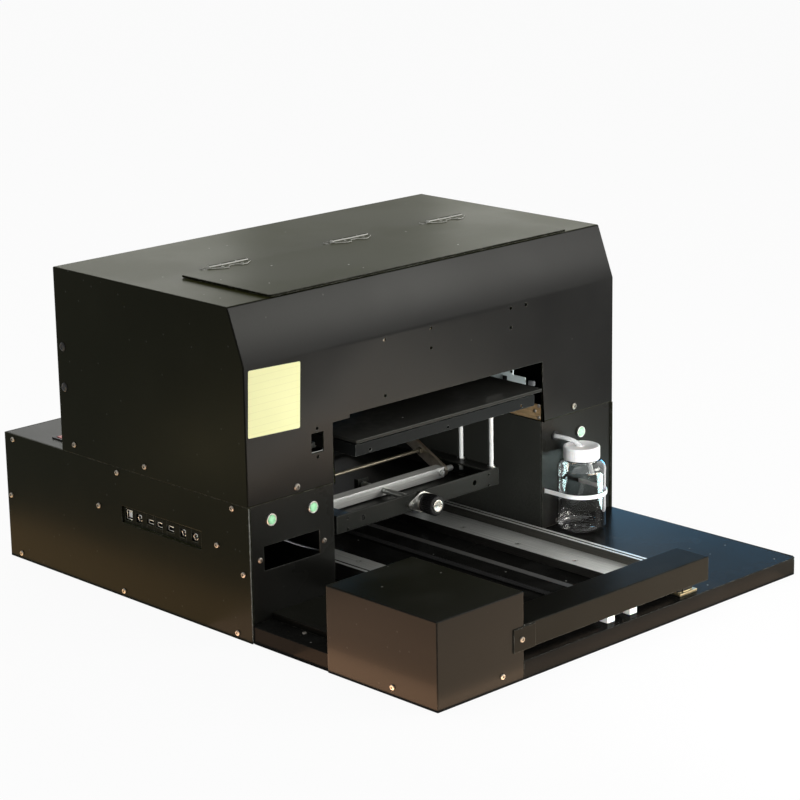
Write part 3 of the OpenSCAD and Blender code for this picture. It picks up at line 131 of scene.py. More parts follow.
class Graph:
    """A node tree with short ways to add and join nodes."""

    def __init__(self, tree: bpy.types.NodeTree) -> None:
        """Takes over a node tree."""
        self.tree = tree

    def feed(self, inputs: Any, values: dict) -> None:
        """Links or sets inputs.

        Args:
            inputs: The inputs of a node.
            values: Outputs of other nodes, or constants, by name or number of the input.
        """
        for key, value in values.items():
            socket = inputs[key]
            if isinstance(value, Socket):
                self.tree.links.new(value, socket)
            elif isinstance(value, tuple) and len(value) == 3 and len(socket.default_value) == 4:
                socket.default_value = (*value, 1.0)
            else:
                socket.default_value = value

    def add(self, kind: str, values: Optional[dict] = None, **settings: object) -> bpy.types.Node:
        """Adds a shader node.

        Args:
            kind: Its type.
            values: Inputs by name or number.
            settings: Properties of the node.

        Returns:
            The new node.
        """
        node = self.tree.nodes.new("ShaderNode" + kind)
        for key, value in settings.items():
            setattr(node, key, value)
        self.feed(node.inputs, values or {})
        return node

    def math(self, operation: str, first: Value, second: Value) -> Socket:
        """A sum on two values."""
        return self.add("Math", {0: first, 1: second}, operation=operation).outputs[0]

    def product(self, first: Value, *others: Value) -> Socket:
        """Multiplies values.

        Args:
            first: The first value.
            others: The values that it is multiplied by.

        Returns:
            The product.
        """
        for other in others:
            first = self.math("MULTIPLY", first, other)
        return first

    def spread(self, value: Value, start: float, end: float, low: float = 0.0, high: float = 1.0) -> Socket:
        """Maps a range of values to another, with soft ends.

        Args:
            value: The value to map.
            start: Value that gives low.
            end: Value that gives high.
            low: Result at start.
            high: Result at end.

        Returns:
            The mapped value.
        """
        values = {"Value": value, "From Min": start, "From Max": end, "To Min": low, "To Max": high}
        return self.add("MapRange", values, interpolation_type="SMOOTHSTEP").outputs[0]

    def blend(self, share: Value, under: Value, over: Value) -> Socket:
        """A mix of two colours by the share of the second."""
        return self.add("Mix", {0: share, 6: under, 7: over}, data_type="RGBA").outputs[2]

    def place(self) -> Socket:
        """Coordinates in the machine's frame."""
        return self.add("TexCoord").outputs["Object"]

    def effect(self, effect: Effect, **values: float) -> Any:
        """The outputs of a shared effect, from its inputs with underscores for spaces."""
        return self.add("Group", spaced(values), node_tree=EffectTree.of(effect)).outputs


class EffectTree(Graph):
    """The node group of a shared effect. It has a method for each effect."""

    SOCKETS = {
        Effect.EDGE_WEAR: (("Radius", "Amount", "Scale"), ("Mask",)),
        Effect.GRAIN: (("Scale",), ("Value", "Height")),
        Effect.SMUDGES: (("Scale",), ("Value",)),
        Effect.DUST: (("Scale", "Amount"), ("Mask",)),
        Effect.BRUSHING: (("Along X", "Along Y", "Along Z"), ("Value", "Height")),
    }

    @classmethod
    def of(cls, effect: Effect) -> bpy.types.NodeTree:
        """The group of an effect, made at its first use."""
        return bpy.data.node_groups.get(effect.value) or cls(effect).tree

    def __init__(self, effect: Effect) -> None:
        """Makes the group.

        Args:
            effect: The effect.
        """
        super().__init__(bpy.data.node_groups.new(effect.value, "ShaderNodeTree"))
        for side, names in zip(("INPUT", "OUTPUT"), self.SOCKETS[effect]):
            for name in names:
                self.tree.interface.new_socket(name, in_out=side, socket_type="NodeSocketFloat")
        self.source = self.tree.nodes.new("NodeGroupInput").outputs
        results = getattr(self, effect.value)()
        self.feed(self.tree.nodes.new("NodeGroupOutput").inputs, dict(enumerate(results)))

    def noise(self, scale: Value, detail: float, place: Optional[Socket] = None) -> Socket:
        """Noise from cycles per metre, finer layers and coordinates, by default the machine's."""
        values = {"Vector": place or self.place(), "Scale": scale, "Detail": detail}
        return self.add("TexNoise", values).outputs[0]

    def edge_wear(self) -> tuple[Socket, ...]:
        """Masks sharp edges, broken up by noise.

        Returns:
            The mask.
        """
        rounded = self.add("Bevel", {"Radius": self.source["Radius"]}, samples=4).outputs[0]
        normal = self.add("NewGeometry").outputs["Normal"]
        along = self.add("VectorMath", {0: rounded, 1: normal}, operation="DOT_PRODUCT").outputs["Value"]
        edge = self.spread(along, 0.995, 0.85)
        broken = self.spread(self.noise(self.source["Scale"], 4.0), 0.38, 0.62, 0.15)
        return (self.product(edge, broken, self.source["Amount"]),)

    def grain(self) -> tuple[Socket, ...]:
        """Makes a fine orange peel.

        Returns:
            Its value and its height.
        """
        scale = self.source["Scale"]
        fine = self.noise(scale, 2.0)
        coarse = self.noise(self.product(scale, 0.23), 1.0)
        return self.spread(fine, 0.3, 0.7), self.math("ADD", fine, self.product(coarse, 0.6))

    def smudges(self) -> tuple[Socket, ...]:
        """Soft broad patches of handling."""
        return (self.spread(self.noise(self.source["Scale"], 5.0), 0.32, 0.68),)

    def dust(self) -> tuple[Socket, ...]:
        """Strews specks and a thin film, most on faces that look up.

        Returns:
            The mask.
        """
        cells = self.add("TexVoronoi", {"Vector": self.place(), "Scale": self.source["Scale"]}).outputs
        speck = self.spread(cells["Distance"], 0.07, 0.11, 1.0, 0.0)
        chosen = self.spread(self.add("SeparateColor", {0: cells["Color"]}).outputs[0], 0.93, 0.95)
        film = self.spread(self.noise(14.0, 6.0), 0.5, 0.8, 0.0, 0.03)
        normal = self.add("NewGeometry").outputs["Normal"]
        facing = self.spread(self.add("SeparateXYZ", {0: normal}).outputs["Z"], 0.2, 0.9, 0.12)
        both = self.math("MAXIMUM", self.product(speck, chosen), film)
        return (self.product(both, facing, self.source["Amount"]),)

    def brushing(self) -> tuple[Socket, ...]:
        """Draws streaks from the cycles per metre along each axis.

        Returns:
            Their value and their height.
        """
        stretch = self.add("CombineXYZ", {i: self.source[i] for i in range(3)}).outputs[0]
        scaled = self.add("VectorMath", {0: self.place(), 1: stretch}, operation="MULTIPLY").outputs[0]
        streak = self.noise(1.0, 3.0, scaled)
        return self.spread(streak, 0.3, 0.7), streak


class SurfaceGraph(Graph):
    """The node tree of a material with its Principled shader."""

    BUMP = 0.35

    def surface(self, base: Value, rough: Value, **others: Value) -> None:
        """Feeds the shader.

        Args:
            base: Its colour.
            rough: Its roughness.
            others: Its other inputs, with underscores for spaces.
        """
        values = {"Base Color": base, "Roughness": rough, **spaced(others)}
        self.feed(self.tree.nodes["Principled BSDF"].inputs, values)

    def bump(self, height: Socket, depth: float) -> Socket:
        """A shading normal roughened by a height, to a depth in metres."""
        return self.add("Bump", {"Height": height, "Strength": self.BUMP, "Distance": depth}).outputs[0]


@dataclass(frozen=True)
class Finish:
    """A surface finish. Its kinds say how the shader is wired."""

    SMUDGES = 20.0

    name: str
    colour: Colour
    roughness: float = 0.4
    slot: str = ""

    @property
    def record_slot(self) -> str:
        """The record's slot that this finish stands for."""
        return self.slot or self.name

    def material(self) -> bpy.types.Material:
        """Gives the finish as a material, made at its first use.

        Returns:
            The material.
        """
        title = self.name + "_finish"
        made = bpy.data.materials.get(title)
        if not made:
            made = bpy.data.materials.new(title)
            made.use_nodes = True
            self.wire(SurfaceGraph(made.node_tree))
        return made

    def smudge(self, graph: Graph) -> Socket:
        """Patches of handling, at the scale of this kind of finish."""
        return graph.effect(Effect.SMUDGES, Scale=self.SMUDGES)[0]

    def times(self, share: float) -> Colour:
        """The colour times a share."""
        return tuple(share * c for c in self.colour)

    def rough(self, graph: Graph, share: Socket, less: float, more: float) -> Socket:
        """The roughness as it varies with a share, between two amounts added to it."""
        return graph.spread(share, 0.0, 1.0, self.roughness + less, self.roughness + more)

    def wire(self, graph: SurfaceGraph) -> None:
        """Wires the shader of this kind of finish."""
        raise NotImplementedError


@dataclass(frozen=True)
class Coat(Finish):
    """Powder coat or paint on sheet steel."""

    SMUDGES = 7.0
    SPECKS = 75.0
    WORN_EDGE = {"Radius": 0.0012, "Scale": 160.0}

    # Colour and amount of the pale edges: part scuffing, part painted highlight along the edges.
    worn_and_lit_edge: Colour = (0.15, 0.15, 0.13)
    specular: float = 0.4
    grain: float = 760.0
    depth: float = 0.00012
    edge_wear_and_light: float = 0.8
    dust: float = 0.3
    # The sheen is a grazing lobe lit by the lamps; its olive tint paints a reflection colour onto the coat.
    sheen: float = 0.0
    sheen_rough: float = 0.45
    sheen_tint: Colour = (0.93, 1.0, 0.22)
    dust_colour: Colour = (0.6, 0.6, 0.56)
    lighter: float = 1.45

    def wire(self, graph: SurfaceGraph) -> None:
        """Wires grain, handling, pale edges that are part scuffing and part painted highlight, and dust.

        Args:
            graph: The material's graph.
        """
        grain = graph.effect(Effect.GRAIN, Scale=self.grain)
        smudge = self.smudge(graph)
        edge = graph.effect(Effect.EDGE_WEAR, Amount=self.edge_wear_and_light, **self.WORN_EDGE)[0]
        dust = graph.effect(Effect.DUST, Scale=self.SPECKS, Amount=self.dust)[0]
        base = graph.blend(graph.product(grain["Value"], smudge), self.colour, self.times(self.lighter))
        # Pale edges: part scuffing, part painted highlight.
        base = graph.blend(edge, base, self.worn_and_lit_edge)
        base = graph.blend(dust, base, self.dust_colour)
        rough = graph.math("ADD", self.rough(graph, smudge, -0.02, 0.02), graph.product(dust, 0.3))
        graph.surface(base, rough, Specular_IOR_Level=self.specular, Sheen_Weight=self.sheen,
                      Sheen_Roughness=self.sheen_rough, Sheen_Tint=self.sheen_tint,
                      Normal=graph.bump(grain["Height"], self.depth))


@dataclass(frozen=True)
class Metal(Finish):
    """Bare, plated or brushed metal, with streaks along one axis."""

    SMUDGES = 24.0
    WORN_EDGE = {"Radius": 0.0005, "Amount": 0.4, "Scale": 260.0}

    streaks: Point = (300.0, 300.0, 300.0)
    depth: float = 0.00004
    metallic: float = 1.0
    shade: float = 0.72
    dull: float = 0.6
    bright: float = 1.25

    def wire(self, graph: SurfaceGraph) -> None:
        """Wires brushing, handling and bright edges.

        Args:
            graph: The material's graph.
        """
        x, y, z = self.streaks
        brushed = graph.effect(Effect.BRUSHING, Along_X=x, Along_Y=y, Along_Z=z)
        smudge = self.smudge(graph)
        edge = graph.effect(Effect.EDGE_WEAR, **self.WORN_EDGE)[0]
        base = graph.blend(brushed["Value"], self.times(self.shade), self.colour)
        base = graph.blend(graph.product(smudge, 0.25), base, self.times(self.dull))
        base = graph.blend(edge, base, tuple(min(1.0, c) for c in self.times(self.bright)))
        streak = self.rough(graph, brushed["Value"], 0.07, -0.05)
        rough = graph.math("ADD", streak, graph.product(smudge, 0.08))
        graph.surface(base, rough, Metallic=self.metallic, Normal=graph.bump(brushed["Height"], self.depth))


@dataclass(frozen=True)
class Moulded(Finish):
    """Moulded plastic, nylon or rubber."""

    SMUDGES = 30.0
    SPECKS = 110.0

    specular: float = 0.45
    soft: float = 0.0
    soft_reach: float = 0.002
    grain: float = 1500.0
    depth: float = 0.00006
    dust: float = 0.25
    dust_colour: Colour = (0.5, 0.49, 0.46)
    darker: float = 0.86

    def wire(self, graph: SurfaceGraph) -> None:
        """Wires a fine moulded texture.

        Args:
            graph: The material's graph.
        """
        grain = graph.effect(Effect.GRAIN, Scale=self.grain)
        smudge = self.smudge(graph)
        dust = graph.effect(Effect.DUST, Scale=self.SPECKS, Amount=self.dust)[0]
        base = graph.blend(smudge, self.colour, self.times(self.darker))
        base = graph.blend(dust, base, self.dust_colour)
        graph.surface(base, self.rough(graph, smudge, -0.05, 0.06), Specular_IOR_Level=self.specular,
                      Subsurface_Weight=self.soft, Subsurface_Scale=self.soft_reach,
                      Normal=graph.bump(grain["Height"], self.depth))


@dataclass(frozen=True)
class Clear(Finish):
    """Clear plastic walls."""

    SMUDGES = 45.0

    ior: float = 1.45
    milk: float = 0.0
    darker: float = 0.97

    def wire(self, graph: SurfaceGraph) -> None:
        """Wires clear plastic with slight handling marks.

        Args:
            graph: The material's graph.
        """
        smudge = self.smudge(graph)
        base = graph.blend(smudge, self.colour, self.times(self.darker))
        graph.surface(base, self.rough(graph, smudge, 0.0, 0.02), IOR=self.ior,
                      Transmission_Weight=1.0 - self.milk)


@dataclass(frozen=True)
class Lens(Finish):
    """A lit translucent lens."""

    SMUDGES = 260.0

    glow: float = 0.12
    pale: float = 0.12
    specular: float = 0.15

    def wire(self, graph: SurfaceGraph) -> None:
        """Wires a lit lens with a cloudy moulding.

        Args:
            graph: The material's graph.
        """
        cloud = self.smudge(graph)
        body = graph.blend(cloud, self.colour, tuple(min(1.0, self.pale + c) for c in self.colour))
        graph.surface(body, self.rough(graph, cloud, 0.0, 0.1), Emission_Color=body,
                      Emission_Strength=self.glow, Specular_IOR_Level=self.specular)


@dataclass(frozen=True)
class LabelStock(Finish):
    """Plain coated paper with faint ruled lines."""

    FIBRES = 2200.0

    pitch: float = 0.0085
    line: float = 0.0006
    ink: Colour = (0.45, 0.4, 0.2)
    darker: float = 0.93
    specular: float = 0.06
    depth: float = 0.00002

    def wire(self, graph: SurfaceGraph) -> None:
        """Wires paper fibre and ruled lines.

        Args:
            graph: The material's graph.
        """
        grain = graph.effect(Effect.GRAIN, Scale=self.FIBRES)
        smudge = self.smudge(graph)
        height = graph.add("SeparateXYZ", {0: graph.place()}).outputs["Z"]
        ruled = graph.math("LESS_THAN", graph.math("MODULO", height, self.pitch), self.line)
        base = graph.blend(graph.product(smudge, 0.35), self.colour, self.times(self.darker))
        base = graph.blend(graph.product(ruled, 0.16), base, self.ink)
        graph.surface(base, self.rough(graph, smudge, 0.0, 0.1), Specular_IOR_Level=self.specular,
                      Normal=graph.bump(grain["Height"], self.depth))


# The coats with the black_coat slot are copies of one satin black powder coat, each set lighter or darker
# part by part to how light falls on it: painted light and shade.
BLACK_COAT = Coat("black_coat", (0.0026, 0.0026, 0.0018), 0.3, specular=0.021, sheen=0.07)
# The hood's front faces take this copy, with more reflection and no sheen: a painted reflection.
FRONT_REFLECTION_COAT = Coat("front_coat", (0.0034, 0.0034, 0.003), 0.3, "black_coat", specular=0.1)
# Lighter copy for the column fronts: painted light.
COLUMN_COAT = Coat("column_coat", (0.009, 0.009, 0.0078), 0.28, "black_coat", specular=0.07)
DECK_COAT = Coat("deck_coat", (0.006, 0.006, 0.0054), 0.24, "black_coat", specular=0.008, edge_wear_and_light=0.7, dust=0.4)
LID_COAT = Coat("lid_coat", (0.0026, 0.0026, 0.0018), 0.3, "black_coat", (0.4, 0.4, 0.36), 0.019, dust=0.9,
                sheen=0.065)
BEAM_COAT = Coat("beam_coat", (0.005, 0.005, 0.004), 0.3, "black_coat", specular=0.02, sheen=0.01)
# The beam's top faces take this copy with less reflection: painted shade.
BEAM_TOP_SHADE_COAT = Coat("beam_top_coat", (0.005, 0.005, 0.004), 0.3, "black_coat", specular=0.005)
BOX_COAT = Coat("box_coat", (0.0045, 0.0045, 0.0038), 0.3, "black_coat", specular=0.036, edge_wear_and_light=0.9,
                sheen=0.008)
LINER_COAT = Coat("liner_coat", (0.03, 0.031, 0.027), 0.36, "black_coat", specular=0.1, edge_wear_and_light=0.5)
# Pale coat of the corner strips: a painted edge highlight.
CORNER_HIGHLIGHT_COAT = Coat("flange_coat", (0.075, 0.078, 0.068), 0.4, "black_coat", (0.3, 0.3, 0.27), 0.08, edge_wear_and_light=1.0)
FRAME_COAT = Coat("frame_coat", (0.011, 0.012, 0.012), 0.36, "black_coat", (0.2, 0.21, 0.19), 0.018, edge_wear_and_light=1.0)
# Lighter copy for the tray, which sits in shade: painted light.
TRAY_COAT = Coat("tray_coat", (0.0115, 0.012, 0.0105), 0.38, "black_coat", specular=0.09)
# The hinges' pale edges are part scuffing and part painted glint; their pale faces toward the front are
# painted glints.
HINGE_COAT = Coat("hinge_coat", (0.006, 0.006, 0.005), 0.36, "plated_steel", (0.95, 0.95, 0.9), 0.019,
                  edge_wear_and_light=1.0, dust=0.9, sheen=0.065)
HINGE_GLINT = Coat("hinge_edge", (0.55, 0.55, 0.51), 0.4, "plated_steel", (0.9, 0.9, 0.85), 0.1, edge_wear_and_light=1.0)
GLOSS_BLACK = Coat("gloss_black", (0.026, 0.026, 0.0235), 0.1, specular=0.012, grain=90.0, depth=0.00003,
                   edge_wear_and_light=0.6, dust=0.5)
DARK_STEEL = Coat("dark_steel", (0.012, 0.0122, 0.0112), specular=0.03, edge_wear_and_light=0.35)
PALE_PAINT = Coat("pale_paint", (0.72, 0.82, 0.82), 0.45, "grey_cover", (0.8, 0.8, 0.8), edge_wear_and_light=0.3, dust=0.2)
GREY_COVER = Coat("grey_cover", (0.34, 0.39, 0.4), 0.42, worn_and_lit_edge=(0.6, 0.6, 0.6), edge_wear_and_light=0.3, dust=0.2)
BRIGHT_STEEL = Metal("bright_steel", (0.82, 0.82, 0.79), 0.25, streaks=(40.0, 900.0, 900.0))
PLATED_STEEL = Metal("plated_steel", (0.66, 0.66, 0.63), 0.3)
SCREW_STEEL = Metal("screw_steel", (0.24, 0.225, 0.2), 0.48, "plated_steel")
# Darker copy of the rail metal for the rails' sides: painted shade.
RAIL_SIDE_SHADE = Metal("rail_side", (0.15, 0.145, 0.13), 0.45, "aluminium", (1500.0, 9.0, 1500.0))
ROD_STEEL = Metal("rod_steel", (0.4, 0.36, 0.28), 0.45, "brass", (60.0, 500.0, 500.0))
ALUMINIUM = Metal("aluminium", (0.84, 0.85, 0.81), 0.42, streaks=(1500.0, 9.0, 1500.0), metallic=0.8)
BAR_ALUMINIUM = Metal("bar_aluminium", (0.86, 0.87, 0.83), 0.42, "aluminium", (9.0, 900.0, 900.0),
                      metallic=0.15)
POST_STEEL = Metal("post_steel", (0.88, 0.9, 0.88), 0.3, "plated_steel", (300.0, 300.0, 9.0), metallic=0.3)
AMBER_STEEL = Metal("amber_steel", (0.8, 0.56, 0.3), 0.42, streaks=(60.0, 25.0, 400.0), metallic=0.6)
BRONZE_STEEL = Metal("bronze_steel", (0.8, 0.73, 0.61), 0.5, streaks=(400.0, 60.0, 60.0))
BRASS = Metal("brass", (0.5, 0.45, 0.3), 0.42, streaks=(60.0, 500.0, 500.0))
WHITE_NYLON = Moulded("white_nylon", (0.84, 0.84, 0.8), 0.5, soft=0.12)
WHITE_PLASTIC = Moulded("white_plastic", (0.95, 0.95, 0.94), 0.42, soft=0.08, dust=0.05)
BLACK_PLASTIC = Moulded("black_plastic", (0.008, 0.008, 0.0082), 0.36, specular=0.2)
GREY_NYLON = Moulded("grey_nylon", (0.2, 0.21, 0.215), 0.45)
RED_PLASTIC = Moulded("red_plastic", (0.42, 0.025, 0.02), 0.3)
BELT_RUBBER = Moulded("belt_rubber", (0.008, 0.008, 0.008), 0.7, specular=0.15, grain=700.0, depth=0.0002,
                      dust=0.3)
BELT_BACK = Moulded("belt_back", (0.04, 0.04, 0.037), 0.6, "belt_rubber", grain=1800.0, depth=0.0001,
                    dust=0.5)
CLEAR_PLASTIC = Clear("clear_plastic", (1.0, 1.0, 1.0), 0.0)
CLEAR_TUBE = Clear("clear_tube", (0.96, 0.975, 0.975), 0.04, ior=1.3, milk=0.3)
GREEN_LENS = Lens("green_lens", (0.27, 0.62, 0.33), 0.25)
LABEL_PAPER = LabelStock("label_paper", (0.86, 0.845, 0.46), 0.5)
SLOT_FINISHES = {finish.name: finish for finish in (
    BLACK_COAT, GLOSS_BLACK, DARK_STEEL, BRIGHT_STEEL, PLATED_STEEL, ALUMINIUM, AMBER_STEEL, BRONZE_STEEL,
    BRASS, WHITE_NYLON, WHITE_PLASTIC, BLACK_PLASTIC, GREY_NYLON, BELT_RUBBER, CLEAR_PLASTIC, CLEAR_TUBE,
    GREEN_LENS, RED_PLASTIC, GREY_COVER)}
NODE_SLOTS = {row["node"]: row["material_slot"] for row in frame["record"]["subparts"]}
Edges = dict[str, Pair]
Finishes = dict[str, Finish]


class Ring(NamedTuple):
    """One ring of a turned shape: its radius, its height along the axis, and its outline if not round."""

    radius: float
    height: float
    shape: Optional[RingShape] = None


def hexagon(angle: float) -> float:
    """Outline of a hexagon, as a share of its corner radius."""
    half = math.pi / 6
    return math.cos(half) / math.cos(angle % (2 * half) - half)


def fluted(count: int, depth: float) -> RingShape:
    """Outline with a number of round flutes, whose depth is a share of the radius."""
    return lambda angle: 1 - depth * (0.5 + 0.5 * math.cos(count * angle)) ** 2


def curve_arc(radius: float, start: float, end: float, steps: int = 8) -> list[Vector]:
    """Points in a plane on an arc about the origin, between two angles in degrees."""
    angles = [math.radians(start + (end - start) * i / steps) for i in range(steps + 1)]
    return [Vector((radius * math.cos(a), radius * math.sin(a))) for a in angles]


def node_box(node: str) -> tuple[Vector, Vector]:
    """Lowest and highest corner of a solid in millimetres."""
    low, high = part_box(node)
    return low / MM, high / MM


class Workpiece:
    """A mesh in the making, in millimetres, in the machine's frame."""

    RIM_ANGLE = math.radians(35)
    FOLD_ANGLE = math.radians(15)
    FLAT_ANGLE = math.radians(0.6)
    FOLD_LENGTH = 40.0
    WELD = 0.002

    def __init__(self) -> None:
        """Starts an empty mesh."""
        self.bm = bmesh.new()

    @classmethod
    def from_node(cls, node: str) -> "Workpiece":
        """Starts from the shape of a solid, with its flat faces whole.

        Args:
            node: Name of the solid's node.

        Returns:
            The new mesh.
        """
        work = cls()
        bm = work.bm
        bm.from_mesh(frame["nodes"][node].data)
        bmesh.ops.scale(bm, vec=(1 / MM,) * 3, verts=bm.verts)
        bmesh.ops.remove_doubles(bm, verts=bm.verts, dist=cls.WELD)
        bmesh.ops.dissolve_limit(bm, angle_limit=cls.FLAT_ANGLE, verts=bm.verts, edges=bm.edges)
        return work

    def islands(self) -> list[tuple[Vector, Vector]]:
        """Finds the separate shapes in the mesh.

        Returns:
            Lowest and highest corner of each.
        """
        left = set(self.bm.verts)
        boxes = []
        while left:
            group = [left.pop()]
            for vert in group:
                near = {e.other_vert(vert) for e in vert.link_edges} & left
                left -= near
                group.extend(near)
            columns = list(zip(*(v.co for v in group)))
            boxes.append((Vector(map(min, columns)), Vector(map(max, columns))))
        return sorted(boxes, key=lambda b: tuple(b[0]))

    def _wide(self, edge: bmesh.types.BMEdge, width: float) -> bool:
        """Whether both faces at an edge are wider than a width."""
        return all(face.calc_area() / edge.calc_length() > width for face in edge.link_faces)

    def round_edges(self, fold: float, rim: float) -> "Workpiece":
        """Rounds long outer folds and breaks all other sharp edges.

        Args:
            fold: Radius of the folds, or 0.
            rim: Radius of the other edges.

        Returns:
            The same mesh.
        """
        folds = [e for e in self._sharp(self.bm.edges, self.FOLD_ANGLE) if fold and e.is_convex
                 and e.calc_length() > self.FOLD_LENGTH and self._wide(e, 3 * fold)]
        self._bevel(folds, fold, 3)
        self._bevel(self._sharp(self.bm.edges, self.RIM_ANGLE), rim)
        return self

    @staticmethod
    def _sharp(edges: Sequence[bmesh.types.BMEdge], angle: float) -> list[bmesh.types.BMEdge]:
        """Those edges between two faces that bend by more than an angle."""
        return [e for e in edges if len(e.link_faces) == 2 and e.calc_face_angle(0) > angle]

    def _bevel(self, edges: Sequence[bmesh.types.BMEdge], radius: float, segments: int = 2) -> None:
        """Rounds the given edges."""
        if edges and radius:
            bmesh.ops.bevel(self.bm, geom=edges, offset=radius, segments=segments, profile=0.5,
                            affect="EDGES", clamp_overlap=False)

    def box(self, low: Sequence[float], high: Sequence[float], rounding: float = 0.0) -> "Workpiece":
        """Adds a box.

        Args:
            low: Lowest corner.
            high: Highest corner.
            rounding: Radius of its edges.

        Returns:
            The same mesh.
        """
        a, b = Vector(low), Vector(high)
        place = Matrix.Translation((a + b) / 2) @ Matrix.Diagonal((*(b - a), 1))
        made = bmesh.ops.create_cube(self.bm, size=1.0, matrix=place)
        self._bevel(list(dict.fromkeys(e for v in made["verts"] for e in v.link_edges)), rounding)
        return self

    def bridge(self, first: Sequence[Vert], second: Sequence[Vert]) -> None:
        """Joins two rings with faces.

        Args:
            first: One ring, or a single point.
            second: The other.
        """
        for i in range(max(len(first), len(second))):
            corners = [ring[(i + step) % len(ring)]
                       for ring, step in ((first, 0), (first, 1), (second, 1), (second, 0))]
            corners = list(dict.fromkeys(corners))
            if len(corners) > 2:
                self.bm.faces.new(corners)

    def lofted(self, sections: Sequence[Sequence[Vector]], closed: bool = False) -> list[list[Vert]]:
        """Adds a skin over sections.

        Args:
            sections: The points of each section, in order.
            closed: Whether the last section joins the first.

        Returns:
            The vertices of each section.
        """
        rings = [[self.bm.verts.new(point) for point in section] for section in sections]
        for first, second in zip(rings, rings[1:] + rings[:int(closed)]):
            self.bridge(first, second)
        return rings

    def turned(self, profile: Profile, axis: Axis, steps: int, *places: Sequence[float]) -> "Workpiece":
        """Adds a turned shape at some places.

        Args:
            profile: Its rings in order.
            axis: Direction of the heights.
            steps: Points round a ring.
            places: Where height 0 lies.

        Returns:
            The same mesh.
        """
        turn = axis.vector.to_track_quat("Z", "Y").to_matrix()
        sections = []
        for ring in (Ring(*mark) for mark in profile):
            angles = [TURN * k / steps for k in range(steps if ring.radius else 1)]
            reach = [ring.radius * (ring.shape(a) if ring.shape else 1.0) for a in angles]
            sections.append([turn @ Vector((r * math.cos(a), r * math.sin(a), ring.height))
                             for r, a in zip(reach, angles)])
        for place in places:
            self.lofted([[Vector(place) + point for point in section] for section in sections])
        return self

    def extruded(self, outline: Sequence[Sequence[float]], at: Sequence[float], across: Axis, depth: float,
                 rounding: float = 0.0) -> "Workpiece":
        """Adds an upright outline with a thickness.

        Args:
            outline: Points across and up.
            at: Where the outline's origin lies.
            across: Direction of the first coordinate.
            depth: Thickness along across x up.
            rounding: Radius of its edges.

        Returns:
            The same mesh.
        """
        up = Axis.UP.vector
        flat = [Vector(at) + across.vector * p[0] + up * p[1] for p in outline]
        through = across.vector.cross(up) * depth
        low, high = self.lofted([flat, [point + through for point in flat]])
        self.bm.faces.new(low[::-1])
        self.bm.faces.new(high)
        edges = dict.fromkeys(e for v in low + high for e in v.link_edges)
        self._bevel(self._sharp(edges, self.RIM_ANGLE), rounding)
        return self

    def piped(self, path: Sequence[Vector], radius: float, bore: float, sides: int) -> "Workpiece":
        """Adds a round tube along a path.

        Args:
            path: Points of the middle line.
            radius: Outer radius.
            bore: Inner radius.
            sides: Points round the tube.

        Returns:
            The same mesh.
        """
        angles = [TURN * k / sides for k in range(sides)]
        around = []
        side = Axis.RIGHT.vector
        for before, after in zip([path[0], *path], [*path[1:], path[-1]]):
            along = (after - before).normalized()
            side = (side - along * side.dot(along)).normalized()
            other = along.cross(side)
            around.append([math.cos(a) * side + math.sin(a) * other for a in angles])
        outer, inner = (
            self.lofted([[point + reach * way for way in ways] for point, ways in zip(path, around)])
            for reach in (radius, bore))
        for end in (0, -1):
            self.bridge(outer[end], inner[end])
        return self

    def paint(self, test: FaceTest, level: Optional[float] = None) -> "Workpiece":
        """Gives some faces the piece's second finish.

        Args:
            test: Whether a face takes it.
            level: Height at which faces are parted first, if any.

        Returns:
            The same mesh.
        """
        if level is not None:
            whole = [*self.bm.verts, *self.bm.edges, *self.bm.faces]
            bmesh.ops.bisect_plane(self.bm, geom=whole, plane_co=(0, 0, level), plane_no=(0, 0, 1))
        self.bm.normal_update()
        for face in self.bm.faces:
            face.material_index = int(test(face))
        return self

    def make(self, name: str, finish: Finish, body: Optional[Body] = None, replaces: Sequence[str] = (),
             smooth: float = 34.0, weighted: bool = False,
             second: Optional[Finish] = None) -> bpy.types.Object:
        """Makes the piece.

        Args:
            name: Name of the piece.
            finish: Its finish.
            body: What it rides on, if not the body of the solid it stands for.
            replaces: Solids that it stands for.
            smooth: Largest angle in degrees across which it shades smoothly.
            weighted: Whether large faces set the shading at rounded edges.
            second: Finish of the painted faces.

        Returns:
            The new object.
        """
        bmesh.ops.recalc_face_normals(self.bm, faces=self.bm.faces)
        bmesh.ops.scale(self.bm, vec=(MM,) * 3, verts=self.bm.verts)
        mesh = bpy.data.meshes.new(name)
        self.bm.to_mesh(mesh)
        self.bm.free()
        mesh.shade_smooth()
        mesh.set_sharp_from_angle(angle=math.radians(smooth))
        for each in filter(None, (finish, second)):
            mesh.materials.append(each.material())
        piece = bpy.data.objects.new(name, mesh)
        bpy.context.scene.collection.objects.link(piece)
        if weighted:
            piece.modifiers.new("weighted", "WEIGHTED_NORMAL").keep_sharp = True
        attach(piece, body.value if body else frame["nodes"][replaces[0]]["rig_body"])
        if replaces:
            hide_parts(*replaces)
        LOG.info("made %s", name)
        return piece


